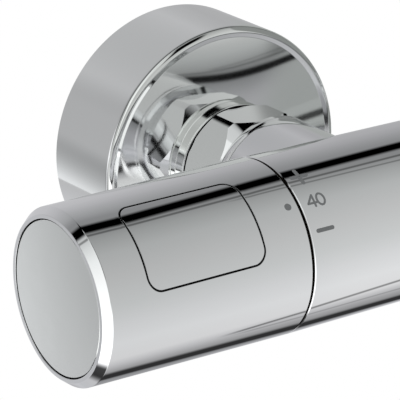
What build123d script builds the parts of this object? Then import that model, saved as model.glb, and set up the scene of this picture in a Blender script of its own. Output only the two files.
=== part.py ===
from build123d import *
import os
from math import atan2, cos, degrees, hypot, pi, radians, sin, sqrt

# Wall-mounted thermostatic bar mixer. Millimetres, +X along the bar, +Y into the wall, +Z up.
# The pieces are modelled about the bar's axis. The last step moves them to the wall frame, whose
# origin lies on the wall, midway between the two wall threads.
# Two kinds of local frame are used. An end frame has +Z pointing out of the bar's end, so that a
# depth inside the bar is negative there. An inlet frame has +Z pointing to the wall.

# Bar body
BODY_R = 21.0            # bar radius
INLET_SPACING = 150.0    # standard pipe centres
INLET_TO_END = 27.05     # inlet axis to the body's end face
SEAM_GAP = 0.5           # gap between the body and each handle
SEAM_BEVEL = 0.4         # bright bevel round each end of the body
BODY_HALF = INLET_SPACING / 2 + INLET_TO_END
INLET_X = INLET_SPACING / 2

# Inlet and outlet bosses on the body
BOSS_R = BODY_R - 3.85    # leaves room for the fillet on the bar's side
BOSS_END = BODY_R + 9.8   # from the bar's axis
BOSS_BEVEL = 1.25
BOSS_FILLET = 1.6
TAIL_BORE_FLOOR = BOSS_END - 10.8
OUTLET_BOSS_R = 13.5
OUTLET_BOSS_END = BODY_R + 2.0

# Water ways in the body
POCKET_R = 17.0          # threaded pocket of the cartridge nuts
POCKET_DEPTH = 12.0
CHAMBER_R = 15.0
NOSE_BORE_R = 9.0
NOSE_BORE_LENGTH = 8.0
FLOW_CHAMBER_DEPTH = 18.0
FLOW_BORE_R = 9.5
FLOW_BORE_DEPTH = 42.0
MIXED_DUCT_R = 7.0
PORT_R = 6.5
DUCT_R = 3.2             # cold water duct behind the mixed water duct
DUCT_Y = 14.6
DRAIN_R = 3.4            # mixed water duct down to the hose outlet
DRAIN_Z = 14.0

# Fits
SLIDE_FIT = 0.05         # radial clearance of turning and sliding pieces
THREAD_FIT = 0.1         # radial clearance drawn between plain threads
SEAT_GAP = 0.05          # face gap between stacked pieces

# Cartridge necks and nuts, the same at both ends
NECK_R = 8.5
NECK_TOP = 12.0          # outward of the body's end face
NECK_FLAT = 7.6          # half distance across the neck's flats
SHOULDER_R = 10.8
SHOULDER_TOP = 1.0
FLANGE_THICKNESS = 3.0
NUT_TOP_DEPTH = 1.0
NUT_SLOTS = 6
NUT_SLOT_WIDTH = 3.0
NUT_SLOT_DEPTH = 2.5
O_RING_WIRE_R = 1.0
O_RING_SQUASH = 0.12

# Spindles
SHAFT_R = 4.0
COLLAR_TOP_DEPTH = 2.2
COLLAR_THICKNESS = 2.8
COLLAR_R = 6.9
STUD_R = 3.0
STUD_LENGTH = 8.0
SPLINE_ROOT_R = 4.1
SPLINE_TIP_R = 4.5
SPLINE_COUNT = 20
SPLINE_TOP = 24.0
SPLINE_START = 13.5
SCREW_R = 2.45
SCREW_HEAD_R = 4.2
SCREW_HEAD_LENGTH = 3.5
SCREW_REACH = 9.0        # thread engaged in the spindle
SCREW_SOCKET_AF = 4.0
SCREW_SOCKET_DEPTH = 2.2

# Handles, measured outward from the body's end face
HANDLE_LENGTH = 53.8
HANDLE_TAPER = 0.65      # the handle narrows a little towards its free end
HANDLE_TIP_R = BODY_R - HANDLE_TAPER
HANDLE_WALL = 2.4
TIP_BEVEL_LENGTH = 1.9
TIP_BEVEL_DEPTH = 1.5
CAP_GAP = 0.3
CAP_RIM = 0.95           # bright ring between the cap's gap and the bevel
CAP_R = HANDLE_TIP_R - TIP_BEVEL_DEPTH - CAP_RIM - CAP_GAP
CAP_THICKNESS = 1.55
CAP_SKIRT_R = CAP_R - 1.0
CAP_SKIRT_WALL = 0.9
CAP_SKIRT_LENGTH = 3.4
HANDLE_TOP = SEAM_GAP + HANDLE_LENGTH
WEB_TOP = HANDLE_TOP - 7.3
WEB_THICKNESS = 2.5
HUB_R = 8.2
HUB_START = 13.0
INSERT_R = 6.2
INSERT_TOP = 30.0
INSERT_KEY_R = 7.2
INSERT_KEY_WIDTH = 1.8
RIB_THICKNESS = 1.6
RIB_ANGLES = (60.0, 135.0, -150.0)
RIB_START = 31.0

# Safety button, a flush panel in the temperature handle
BUTTON_ANGLE = 45.2      # above straight forward
BUTTON_CENTRE = SEAM_GAP + HANDLE_LENGTH / 2
BUTTON_LENGTH = HANDLE_LENGTH - 2 * 11.85
BUTTON_WIDTH = 20.2
BUTTON_CORNER_R = 3.1
BUTTON_GAP = 0.25
BUTTON_LIP = 1.0
BUTTON_LIP_THICKNESS = 1.0
BUTTON_TRAVEL = 2.0
BUTTON_CLEARANCE = 0.3
POST_R = 2.2
POST_SPACING = 17.0
POST_FOOT = 9.7          # from the bar's axis
TOWER_R = 4.1
TOWER_TOP = 11.5
BUTTON_SPRING_R = 3.1
BUTTON_SPRING_WIRE_R = 0.25
BUTTON_SPRING_TURNS = 4
FINGER_WIDTH = 5.0
FINGER_TIP_START = 4.6
FINGER_THICKNESS = 1.2

# Stop ring on the thermostat's neck
STOP_RING_START = 1.1
STOP_RING_WEB = 2.6
STOP_RING_TOP = 8.0
STOP_HUB_R = 11.0
STOP_OUTER_R = BODY_R - HANDLE_WALL - 2.4
STOP_LUG_INNER_R = STOP_OUTER_R - 1.9
FINGER_INNER_R = STOP_LUG_INNER_R + SLIDE_FIT
SAFETY_LUG_ANGLE = 9.0
STOP_SLACK_ANGLE = 2.5
COLD_RANGE = 225.0       # from the 40 degree stop to full cold
HOT_RANGE = 60.0         # past the stop with the button held in

# Thermostatic cartridge, depths inward from the body's end face
HOT_WINDOW_DEPTH = INLET_TO_END
WINDOW_SPACING = 10.6
COLD_WINDOW_DEPTH = HOT_WINDOW_DEPTH + WINDOW_SPACING
HOT_GALLERY_HALF = 2.6
HOT_GALLERY_R = 13.4
SHUTTLE_TRAVEL = 1.5     # from 40 degrees to full cold
SHUTTLE_START = HOT_WINDOW_DEPTH - 3.65
SHUTTLE_END = COLD_WINDOW_DEPTH + 3.95
SHUTTLE_WEB_DEPTH = HOT_WINDOW_DEPTH + 4.3
SHUTTLE_ROOM = 3.9       # free length inward of the shuttle
SHUTTLE_WALL = 2.45
SHUTTLE_WEB = 2.0
WINDOW_HEIGHT = 2 * SHUTTLE_TRAVEL
WINDOW_COUNT = 6
WINDOW_WIDTH = 8.0
HOUSING_BORE_R = 11.5
HOUSING_TAIL_R = 13.4
CARRIER_R = 8.4
CARRIER_WALL = 1.8
CARRIER_FRONT = 8.0
CARRIER_WEB = 3.5
CARRIER_LENGTH = 16.0
CARRIER_KEY_WIDTH = 1.6
CARRIER_KEY_HEIGHT = 1.2
OVERLOAD_CUP_LENGTH = 3.0
OVERLOAD_SPRING_LENGTH = 8.2
OVERLOAD_SPRING_R = 5.3
OVERLOAD_WIRE_R = 0.6
OVERLOAD_TURNS = 4
CLIP_THICKNESS = 1.0
WAX_R = 4.5
WAX_LENGTH = 16.0
WAX_COLLAR_R = 5.1
WAX_COLLAR_LENGTH = 2.0
WAX_NECK_R = 3.0
WAX_NECK_LENGTH = 3.0
WAX_PIN_R = 1.3
NOSE_CAP_PLUG = 4.0
NOSE_CAP_FLANGE = 0.4
NOSE_LENGTH = 7.0
NOSE_CAP_BORE_R = 7.1
THERMO_CHAMBER_DEPTH = SHUTTLE_END + SHUTTLE_ROOM + NOSE_CAP_PLUG + NOSE_CAP_FLANGE + 2 * SEAT_GAP
RETURN_SPRING_R = 8.1
RETURN_WIRE_R = 0.5
RETURN_TURNS = 4

# Flow cartridge, depths inward from the body's end face
FLOW_NOSE_BORE_R = 7.6
DISC_THICKNESS = 2.4
DISC_SEAL_THICKNESS = 1.4
DISC_PORT_R = 5.6
DISC_HUB_R = 1.6
DRIVE_TONGUE_WIDTH = 2.2
DRIVE_TONGUE_LENGTH = 9.0
DRIVE_TONGUE_DEPTH = 1.4
FLOW_WINDOW_DEPTH = 31.5
FLOW_WINDOW_HEIGHT = 7.0
FLOW_WINDOW_WIDTH = 6.0
FLOW_GROOVE_DEPTH = 1.0
FLOW_RANGE = 90.0
FLOW_STOP_TAB_ANGLE = 60.0
FLOW_STOP_TAB_R = 8.1
FLOW_STOP_CAVITY_R = 8.2
DRIVE_SHAFT_R = 5.0

# Inlet unions, measured from the bar's axis towards the wall
TAIL_R = 9.4
TAIL_BORE_R = 7.5
TAIL_FLANGE_R = 12.6
TAIL_FLANGE_THICKNESS = 2.4
NUT_FRONT = BOSS_END + 0.15
NUT_COLLAR_R = 17.3          # round collar in front of the hexagon
NUT_COLLAR_START_R = 15.9
NUT_COLLAR_RISE = 1.15
NUT_COLLAR_END = NUT_FRONT + 1.85
NUT_NECK_R = 14.75
NUT_HEX_START = NUT_FRONT + 4.25  # where the front cone meets the middle of a flat
NUT_BACK = NUT_FRONT + 16.95
NUT_BACK_R = 15.6
NUT_AF = 29.7                # 30 mm spanner size
NUT_CONE_SLOPE = 0.763       # radius per length on both cones
NUT_TURN = 25.6              # angle of one corner from straight sideways
NUT_SEAT = NUT_FRONT + 4.55  # inside face that pulls on the tail's flange
THREAD_34_R = 13.2           # G 3/4 outside radius
THREAD_12_R = 10.48          # G 1/2 outside radius
WASHER_THICKNESS = 2.0
WASHER_BORE_R = 8.6
FILTER_R = 8.4
FILTER_THICKNESS = 0.6
FILTER_HOLE_R = 0.8
UNION_OFFSET = 8.0           # the wall thread stands this much above the bar's axis
UNION_FRONT_LENGTH = 17.5
UNION_CRANK_LENGTH = 7.0
UNION_BORE_R = 8.0
UNION_WALL_BORE_R = 7.0
UNION_NECK_R = 10.1
UNION_NECK_LENGTH = 10.55
WALL_THREAD_START = 3.0      # in front of the wall
WALL_THREAD_LENGTH = 16.0    # behind the wall
FLANGE_FRONT = NUT_SEAT + SEAT_GAP
WASHER_FRONT = FLANGE_FRONT + TAIL_FLANGE_THICKNESS + SEAT_GAP
UNION_FRONT = WASHER_FRONT + WASHER_THICKNESS + SEAT_GAP
CRANK_LOW = UNION_FRONT + UNION_FRONT_LENGTH
CRANK_HIGH = CRANK_LOW + UNION_CRANK_LENGTH
WALL_DISTANCE = CRANK_HIGH + UNION_NECK_LENGTH + WALL_THREAD_START
ROSETTE_R = 35.0
ROSETTE_DEPTH = 23.1
ROSETTE_EDGE_R = 2.0
ROSETTE_DOME = 1.6
ROSETTE_WALL = 1.3
ROSETTE_NECK_R = 16.0
ROSETTE_NECK_FRONT = NUT_BACK + 0.5
ROSETTE_NECK_BEVEL = 0.4
ROSETTE_COLLAR_LENGTH = 5.0

# Check valves inside the inlet tails
CHECK_R = TAIL_BORE_R - SLIDE_FIT
CHECK_LENGTH = 12.5
CHECK_SEAT_R = 4.4
CHECK_SEAT_THICKNESS = 2.0
CHECK_BORE_R = 6.4
CHECK_GUIDE_THICKNESS = 2.0
CHECK_GUIDE_BORE_R = 1.25
POPPET_R = 5.6
POPPET_THICKNESS = 1.4
POPPET_STEM_R = 1.2
POPPET_TRAVEL = 3.0
CHECK_SPRING_R = 2.4
CHECK_SPRING_WIRE_R = 0.25
CHECK_SPRING_TURNS = 4

# Hose outlet
OUTLET_THREAD_LENGTH = 12.0
OUTLET_FLANGE_R = 12.2
OUTLET_FLANGE_THICKNESS = 2.2
OUTLET_SPIGOT_R = 9.4
OUTLET_SPIGOT_LENGTH = 8.0
OUTLET_BORE_R = 6.6
OUTLET_SEAL_THICKNESS = 1.0

TINY = 0.01
CUT = 1.0                    # how far a cutting shape runs past what it cuts

# Local frames
LEFT_END = Pos(-BODY_HALF, 0, 0) * Rot(0, -90, 0)
RIGHT_END = Pos(BODY_HALF, 0, 0) * Rot(0, 90, 0)
HOT_INLET = Pos(-INLET_X, 0, 0) * Rot(-90, 0, 0)
COLD_INLET = Pos(INLET_X, 0, 0) * Rot(-90, 0, 0)
OUTLET = Rot(180, 0, 0)
TO_WALL_FRAME = Pos(0, -WALL_DISTANCE, -UNION_OFFSET)
BUTTON_TURN = BUTTON_ANGLE - 90  # in the left end frame, whose X points up


def disc(low, high, radius, hole=0.0):
    """A cylinder on the local Z axis from low to high, with an optional round hole."""
    solid = Pos(0, 0, low) * Cylinder(radius, high - low, align=(Align.CENTER, Align.CENTER, Align.MIN))
    if hole > 0:
        solid -= disc(low - CUT, high + CUT, hole)
    return solid


def turned(profile):
    """A solid of revolution about the local Z axis from (height, radius) corners."""
    corners = [(radius, 0, height) for height, radius in profile]
    outline = Polyline(*corners, close=True)
    return revolve(make_face(outline), axis=Axis.Z)


def block(low, high):
    """A box from its lowest to its highest corner."""
    size = [b - a for a, b in zip(low, high)]
    return Pos(*low) * Box(*size, align=(Align.MIN, Align.MIN, Align.MIN))


def sector(low, high, inner, outer, start, sweep):
    """A piece of a ring between two radii, from the start angle over the sweep angle."""
    steps = max(2, int(sweep / 30) + 1)
    edge = outer / cos(radians(sweep / steps / 2)) + CUT
    fan = [(0, 0)]
    for k in range(steps + 1):
        angle = radians(start + sweep * k / steps)
        fan.append((edge * cos(angle), edge * sin(angle)))
    wedge = extrude(make_face(Polyline(*fan, close=True)), high - low)
    return disc(low, high, outer, inner) & (Pos(0, 0, low) * wedge)


def hexagon(low, high, across_flats, turn=0.0):
    """A six-sided prism on the local Z axis with one corner at the turn angle."""
    outline = RegularPolygon(across_flats / 2, 6, major_radius=False)
    first = outline.vertices()[0]
    angle = turn - degrees(atan2(first.Y, first.X))
    return Pos(0, 0, low) * Rot(0, 0, angle) * extrude(outline, high - low)


def spline_prism(low, high, root, tip, count):
    """A toothed prism whose corners lie by turns on the root and the tip circle."""
    corners = []
    for k in range(2 * count):
        radius = tip if k % 2 else root
        angle = pi * k / count
        corners.append((radius * cos(angle), radius * sin(angle)))
    return Pos(0, 0, low) * extrude(make_face(Polyline(*corners, close=True)), high - low)


def ring_of(shape, count, start=0.0):
    """Copies of a shape spaced evenly round the local Z axis."""
    return [Rot(0, 0, start + 360.0 * k / count) * shape for k in range(count)]


def coil(low, high, mean_r, wire_r, turns):
    """A round wire wound between two heights, on two tangent arcs for each quarter turn."""
    rise = (high - low - 2 * wire_r) / (2 * pi * turns)
    length = hypot(mean_r, rise)

    def point(t):
        return Vector(mean_r * cos(t), mean_r * sin(t), low + wire_r + rise * t)

    def tangent(t):
        return Vector(-mean_r * sin(t), mean_r * cos(t), rise) * (1 / length)

    edges = []
    for k in range(4 * turns):
        t0, t1 = k * pi / 2, (k + 1) * pi / 2
        step = point(t1) - point(t0)
        both = tangent(t0) + tangent(t1)
        a = 2 * tangent(t0).dot(tangent(t1)) - 2
        b = -2 * step.dot(both)
        c = step.dot(step)
        reach = (-b - sqrt(b * b - 4 * a * c)) / (2 * a)
        first = point(t0) + tangent(t0) * reach
        second = point(t1) - tangent(t1) * reach
        middle = (first + second) * 0.5
        edges.append(TangentArc(point(t0), middle, tangent=tangent(t0)))
        edges.append(TangentArc(middle, point(t1), tangent=(second - first).normalized()))
    start = Plane(origin=point(0), z_dir=tangent(0))
    return sweep(start * Circle(wire_r), path=Wire(edges))


def o_ring(height, groove_r):
    """A rubber ring lying in a groove of the given floor radius."""
    centre = groove_r + O_RING_WIRE_R * (1 - O_RING_SQUASH)
    wire = Plane.XZ * Pos(centre, height) * Circle(O_RING_WIRE_R * (1 - O_RING_SQUASH))
    return revolve(wire, axis=Axis.Z)


def groove(height, outer_r, floor_r):
    """The ring cut for a rubber ring."""
    half = O_RING_WIRE_R * 1.25
    return disc(height - half, height + half, outer_r + CUT, floor_r)


def handle_r(height):
    """The handle's outer radius at a height above the body's end face."""
    share = (height - SEAM_GAP) / (HANDLE_LENGTH - TIP_BEVEL_LENGTH)
    return BODY_R + (HANDLE_TIP_R - BODY_R) * share


GROOVE_FLOOR_R = CHAMBER_R - 2 * O_RING_WIRE_R * (1 - O_RING_SQUASH)
CARTRIDGE_R = CHAMBER_R - SLIDE_FIT
FLANGE_R = POCKET_R - 2 * THREAD_FIT - 0.2
FLANGE_TOP_DEPTH = POCKET_DEPTH - FLANGE_THICKNESS


# Body

def body_bar():
    """The chromed brass bar with its inlet and outlet bosses and its water ways."""
    barrel = Rot(0, 90, 0) * Cylinder(BODY_R, 2 * BODY_HALF)
    barrel = chamfer(barrel.edges().filter_by(GeomType.CIRCLE), SEAM_BEVEL)
    boss = turned([(0, 0), (0, BOSS_R), (BOSS_END - BOSS_BEVEL, BOSS_R), (BOSS_END, BOSS_R - BOSS_BEVEL),
                   (BOSS_END, 0)])
    solid = barrel + HOT_INLET * boss + COLD_INLET * boss
    solid += OUTLET * disc(0, OUTLET_BOSS_END, OUTLET_BOSS_R)
    joints = solid.edges().filter_by(lambda edge: edge.geom_type not in (GeomType.CIRCLE, GeomType.LINE))
    solid = fillet(joints, BOSS_FILLET)
    for end in (LEFT_END, RIGHT_END):
        solid -= end * disc(-POCKET_DEPTH, CUT, POCKET_R)
    solid -= LEFT_END * disc(-THERMO_CHAMBER_DEPTH, CUT, CHAMBER_R)
    solid -= LEFT_END * disc(-THERMO_CHAMBER_DEPTH - NOSE_BORE_LENGTH, CUT, NOSE_BORE_R)
    solid -= RIGHT_END * disc(-FLOW_CHAMBER_DEPTH, CUT, CHAMBER_R)
    solid -= RIGHT_END * disc(-FLOW_BORE_DEPTH, CUT, FLOW_BORE_R)
    mixed_length = 2 * BODY_HALF - THERMO_CHAMBER_DEPTH - FLOW_BORE_DEPTH
    solid -= LEFT_END * disc(-THERMO_CHAMBER_DEPTH - mixed_length - CUT, CUT, MIXED_DUCT_R)
    for inlet in (HOT_INLET, COLD_INLET):
        solid -= inlet * disc(TAIL_BORE_FLOOR, BOSS_END + CUT, TAIL_R + THREAD_FIT)
    solid -= HOT_INLET * disc(CHAMBER_R - PORT_R / 2, BOSS_END, PORT_R)
    cold_floor = FLOW_BORE_R + (DUCT_Y - DUCT_R - FLOW_BORE_R) * 0.6
    solid -= COLD_INLET * disc(cold_floor, BOSS_END, PORT_R)
    cold_start = -BODY_HALF + THERMO_CHAMBER_DEPTH - 2 * DUCT_R
    cold_duct = Cylinder(DUCT_R, INLET_X - cold_start, align=(Align.CENTER, Align.CENTER, Align.MIN))
    solid -= Pos(cold_start, DUCT_Y, 0) * Rot(0, 90, 0) * cold_duct
    drain_x = BODY_HALF - FLOW_WINDOW_DEPTH
    drain = Cylinder(DRAIN_R, drain_x, align=(Align.CENTER, Align.CENTER, Align.MIN))
    solid -= Pos(0, 0, -DRAIN_Z) * Rot(0, 90, 0) * drain
    solid -= Pos(drain_x, 0, 0) * OUTLET * disc(FLOW_BORE_R - DRAIN_R, DRAIN_Z + DRAIN_R, DRAIN_R)
    outlet_floor = OUTLET_BOSS_END - OUTLET_SPIGOT_LENGTH - 2.5
    solid -= OUTLET * disc(outlet_floor, OUTLET_BOSS_END + CUT, OUTLET_SPIGOT_R + THREAD_FIT)
    return solid


def outlet_nipple():
    """The hose outlet: a screwed brass nipple with a G 1/2 thread pointing down."""
    spigot_top = OUTLET_BOSS_END - OUTLET_SPIGOT_LENGTH
    flange_low = OUTLET_BOSS_END + OUTLET_SEAL_THICKNESS + SEAT_GAP
    flange_high = flange_low + OUTLET_FLANGE_THICKNESS
    end = flange_high + OUTLET_THREAD_LENGTH
    bevel = 0.8
    return turned([
        (spigot_top, OUTLET_BORE_R), (spigot_top, OUTLET_SPIGOT_R), (flange_low, OUTLET_SPIGOT_R),
        (flange_low, OUTLET_FLANGE_R), (flange_high, OUTLET_FLANGE_R), (flange_high, THREAD_12_R),
        (end - bevel, THREAD_12_R), (end, THREAD_12_R - bevel), (end, OUTLET_BORE_R)])


def outlet_seal():
    """The flat seal between the body and the outlet nipple's flange."""
    low = OUTLET_BOSS_END + SEAT_GAP / 2
    return disc(low, low + OUTLET_SEAL_THICKNESS, OUTLET_FLANGE_R - 0.3, OUTLET_SPIGOT_R + THREAD_FIT)


# Cartridge neck, shared by both cartridges

def neck_outline(collar_bore_r):
    """Corners of a cartridge's outer end: flange, shoulder and neck, with the shaft's bore."""
    return [
        (-COLLAR_TOP_DEPTH + SEAT_GAP, collar_bore_r), (-COLLAR_TOP_DEPTH + SEAT_GAP, SHAFT_R + SLIDE_FIT),
        (NECK_TOP, SHAFT_R + SLIDE_FIT), (NECK_TOP, NECK_R), (SHOULDER_TOP, NECK_R), (SHOULDER_TOP, SHOULDER_R),
        (-FLANGE_TOP_DEPTH, SHOULDER_R), (-FLANGE_TOP_DEPTH, FLANGE_R), (-POCKET_DEPTH + SEAT_GAP, FLANGE_R),
        (-POCKET_DEPTH + SEAT_GAP, CARTRIDGE_R)]


def cut_neck_flats(solid):
    """Two flats on the neck that keep what sits on it from turning."""
    for side in (-1, 1):
        low = (NECK_FLAT, -NECK_R - CUT, SHOULDER_TOP)
        high = (NECK_R + CUT, NECK_R + CUT, NECK_TOP + CUT)
        solid -= Rot(0, 0, 90 + 90 * side) * block(low, high)
    return solid


def cartridge_nut():
    """The ring nut that holds a cartridge down, with slots for its key."""
    top = -NUT_TOP_DEPTH
    bottom = -FLANGE_TOP_DEPTH + SEAT_GAP
    nut = disc(bottom, top, POCKET_R - THREAD_FIT, SHOULDER_R + THREAD_FIT)
    slot = block((SHOULDER_R - CUT, -NUT_SLOT_WIDTH / 2, top - NUT_SLOT_DEPTH),
                 (POCKET_R + CUT, NUT_SLOT_WIDTH / 2, top + CUT))
    for cutter in ring_of(slot, NUT_SLOTS):
        nut -= cutter
    return nut


# Thermostatic cartridge, in the left end frame

CARRIER_BORE_DEPTH = SHUTTLE_START - 1.4
HOUSING_END_DEPTH = THERMO_CHAMBER_DEPTH - NOSE_CAP_FLANGE - 2 * SEAT_GAP
O_RING_DEPTHS = (HOT_WINDOW_DEPTH - 6.5, HOT_WINDOW_DEPTH + 4.85)


def thermostat_housing():
    """The cartridge's brass housing with its hot and cold windows."""
    step = COLD_WINDOW_DEPTH - WINDOW_HEIGHT / 2 - 2.0
    outline = neck_outline(CARRIER_R + SLIDE_FIT) + [
        (-step, CARTRIDGE_R), (-step, HOUSING_TAIL_R), (-HOUSING_END_DEPTH, HOUSING_TAIL_R),
        (-HOUSING_END_DEPTH, HOUSING_BORE_R), (-CARRIER_BORE_DEPTH, HOUSING_BORE_R),
        (-CARRIER_BORE_DEPTH, CARRIER_R + SLIDE_FIT)]
    housing = cut_neck_flats(turned(outline))
    for depth in O_RING_DEPTHS:
        housing -= groove(-depth, CARTRIDGE_R, GROOVE_FLOOR_R)
    housing -= disc(-HOT_WINDOW_DEPTH - HOT_GALLERY_HALF, -HOT_WINDOW_DEPTH + HOT_GALLERY_HALF,
                    CARTRIDGE_R + CUT, HOT_GALLERY_R)
    for depth in (HOT_WINDOW_DEPTH, COLD_WINDOW_DEPTH):
        window = block((HOUSING_BORE_R - CUT, -WINDOW_WIDTH / 2, -depth - WINDOW_HEIGHT / 2),
                       (CHAMBER_R + CUT, WINDOW_WIDTH / 2, -depth + WINDOW_HEIGHT / 2))
        for cutter in ring_of(window, WINDOW_COUNT):
            housing -= cutter
    key_half = CARRIER_KEY_WIDTH / 2 + SLIDE_FIT
    key_r = CARRIER_R + CARRIER_KEY_HEIGHT + SLIDE_FIT
    key_slot = block((0, -key_half, -CARRIER_BORE_DEPTH - CUT),
                     (key_r, key_half, -CARRIER_FRONT + SHUTTLE_TRAVEL + 0.5))
    for cutter in ring_of(key_slot, 2):
        housing -= cutter
    return housing


def thermostat_spindle():
    """The screwed spindle that the handle turns."""
    collar_low = -COLLAR_TOP_DEPTH - COLLAR_THICKNESS
    spindle = turned([
        (SPLINE_START, 0), (SPLINE_START, SHAFT_R), (-COLLAR_TOP_DEPTH, SHAFT_R),
        (-COLLAR_TOP_DEPTH, COLLAR_R), (collar_low, COLLAR_R), (collar_low, STUD_R),
        (collar_low - STUD_LENGTH, STUD_R), (collar_low - STUD_LENGTH, 0)])
    spindle += spline_prism(SPLINE_START, SPLINE_TOP, SPLINE_ROOT_R, SPLINE_TIP_R, SPLINE_COUNT)
    return spindle - disc(SPLINE_TOP - SCREW_REACH - 1, SPLINE_TOP + CUT, SCREW_R + SLIDE_FIT)


def stop_ring():
    """The ring of stops on the thermostat's neck: the 40 degree stop and the end stops."""
    ring = disc(STOP_RING_START, STOP_RING_TOP, STOP_HUB_R, NECK_R + SLIDE_FIT)
    for side in (-1, 1):
        low = (NECK_FLAT + SLIDE_FIT, -STOP_HUB_R, STOP_RING_START)
        pad = block(low, (STOP_HUB_R, STOP_HUB_R, STOP_RING_TOP))
        pad &= disc(STOP_RING_START, STOP_RING_TOP, STOP_HUB_R)
        ring += Rot(0, 0, 90 + 90 * side) * pad
    web_top = STOP_RING_START + STOP_RING_WEB
    ring += disc(STOP_RING_START, web_top, STOP_OUTER_R, NECK_R + 1.0)
    half_finger = degrees((FINGER_WIDTH / 2) / FINGER_INNER_R)
    # Hotter is the positive turn about this frame's Z axis.
    safety = BUTTON_TURN + half_finger + STOP_SLACK_ANGLE
    ring += sector(web_top - TINY, STOP_RING_TOP, STOP_LUG_INNER_R, STOP_OUTER_R, safety, SAFETY_LUG_ANGLE)
    hot_end = BUTTON_TURN + HOT_RANGE + half_finger + STOP_SLACK_ANGLE
    block_sweep = 360 - HOT_RANGE - COLD_RANGE - 2 * (half_finger + STOP_SLACK_ANGLE)
    ring += sector(web_top - TINY, STOP_RING_TOP, STOP_HUB_R - 0.5, STOP_OUTER_R, hot_end, block_sweep)
    return ring


def regulating_shuttle():
    """The ported sleeve that shuts the hot windows as it opens the cold ones."""
    outer = HOUSING_BORE_R - SLIDE_FIT
    inner = outer - SHUTTLE_WALL
    web_high = -SHUTTLE_WEB_DEPTH
    shuttle = disc(-SHUTTLE_END, -SHUTTLE_START, outer, inner)
    shuttle += disc(web_high - SHUTTLE_WEB, web_high, inner + TINY, WAX_R + SLIDE_FIT)
    hole = Pos((WAX_R + inner - 0.6) / 2, 0) * disc(-SHUTTLE_END, -SHUTTLE_START, 1.15)
    for cutter in ring_of(hole, 8):
        shuttle -= cutter
    # Each row of ports half covers its windows: the hot row from the inner side, the cold from the outer.
    hot_high = -HOT_WINDOW_DEPTH
    cold_low = -COLD_WINDOW_DEPTH
    for low in (hot_high - WINDOW_HEIGHT, cold_low):
        port = block((inner - CUT, -WINDOW_WIDTH / 2, low), (outer + CUT, WINDOW_WIDTH / 2, low + WINDOW_HEIGHT))
        for cutter in ring_of(port, WINDOW_COUNT, 360.0 / WINDOW_COUNT):
            shuttle -= cutter
    return shuttle


def wax_element():
    """The wax thermostat: its bulb, collar, neck and pushing pin."""
    near = SHUTTLE_WEB_DEPTH
    collar_high = -near + WAX_COLLAR_LENGTH + SEAT_GAP
    neck_high = collar_high + WAX_NECK_LENGTH
    pin_high = -overload_cup_end() - SEAT_GAP
    low = collar_high - WAX_LENGTH
    rounding = 1.2
    return turned([
        (pin_high, 0), (pin_high, WAX_PIN_R), (neck_high, WAX_PIN_R), (neck_high, WAX_NECK_R),
        (collar_high, WAX_NECK_R), (collar_high, WAX_COLLAR_R), (-near + SEAT_GAP, WAX_COLLAR_R),
        (-near + SEAT_GAP, WAX_R), (low + rounding, WAX_R), (low, WAX_R - rounding), (low, 0)])


def overload_cup_end():
    """Depth of the face that the wax element's pin pushes on."""
    return CARRIER_FRONT + CARRIER_WEB + OVERLOAD_SPRING_LENGTH + OVERLOAD_CUP_LENGTH


def carrier():
    """The sliding carrier that the spindle's screw moves along the cartridge."""
    inner = CARRIER_R - CARRIER_WALL
    front = -CARRIER_FRONT
    web_low = front - CARRIER_WEB
    low = front - CARRIER_LENGTH
    body = turned([(front, STUD_R + SLIDE_FIT), (front, CARRIER_R), (low, CARRIER_R), (low, inner),
                   (web_low, inner), (web_low, STUD_R + SLIDE_FIT)])
    half = CARRIER_KEY_WIDTH / 2
    key = block((CARRIER_R - 1, -half, low + 2), (CARRIER_R + CARRIER_KEY_HEIGHT, half, front))
    for rib in ring_of(key, 2):
        body += rib
    return body


def overload_cup():
    """The cup between the overload spring and the wax element's pin."""
    low = -overload_cup_end()
    outer = CARRIER_R - CARRIER_WALL - SLIDE_FIT
    return disc(low, low + OVERLOAD_CUP_LENGTH - SEAT_GAP, outer) - disc(low + 1.2, 0, WAX_NECK_R)


def overload_clip():
    """The spring clip that keeps the cup in the carrier."""
    high = -overload_cup_end() - SEAT_GAP
    outer = CARRIER_R - CARRIER_WALL - SLIDE_FIT / 2
    clip = disc(high - CLIP_THICKNESS, high, outer, outer - 1.4)
    return clip - block((0, -1.2, high - CLIP_THICKNESS - CUT), (outer + CUT, 1.2, high + CUT))


def overload_spring():
    """The spring that gives way when the wax element can push no further."""
    high = -CARRIER_FRONT - CARRIER_WEB - SEAT_GAP
    low = high - OVERLOAD_SPRING_LENGTH + 2 * SEAT_GAP
    return coil(low, high, OVERLOAD_SPRING_R, OVERLOAD_WIRE_R, OVERLOAD_TURNS)


def thermostat_nose_cap():
    """The screwed nose that closes the cartridge and lets the mixed water out."""
    plug_high = -HOUSING_END_DEPTH + NOSE_CAP_PLUG
    face = -HOUSING_END_DEPTH - SEAT_GAP
    low = face - NOSE_CAP_FLANGE
    nose_low = low - NOSE_LENGTH
    cap = turned([
        (plug_high, NOSE_CAP_BORE_R), (plug_high, HOUSING_BORE_R - THREAD_FIT),
        (face, HOUSING_BORE_R - THREAD_FIT), (face, HOUSING_TAIL_R - 0.6), (low, HOUSING_TAIL_R - 0.6),
        (low, NOSE_BORE_R - SLIDE_FIT), (nose_low, NOSE_BORE_R - SLIDE_FIT), (nose_low, NOSE_CAP_BORE_R)])
    return cap - groove(nose_o_ring_height(), NOSE_BORE_R, nose_groove_r())


def nose_o_ring_height():
    """Height of the rubber ring on the nose."""
    return -HOUSING_END_DEPTH - SEAT_GAP - NOSE_CAP_FLANGE - NOSE_LENGTH / 2


def nose_groove_r():
    """Radius of the nose's groove floor: its ring is thinner than the others."""
    return NOSE_BORE_R - 1.2


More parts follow.
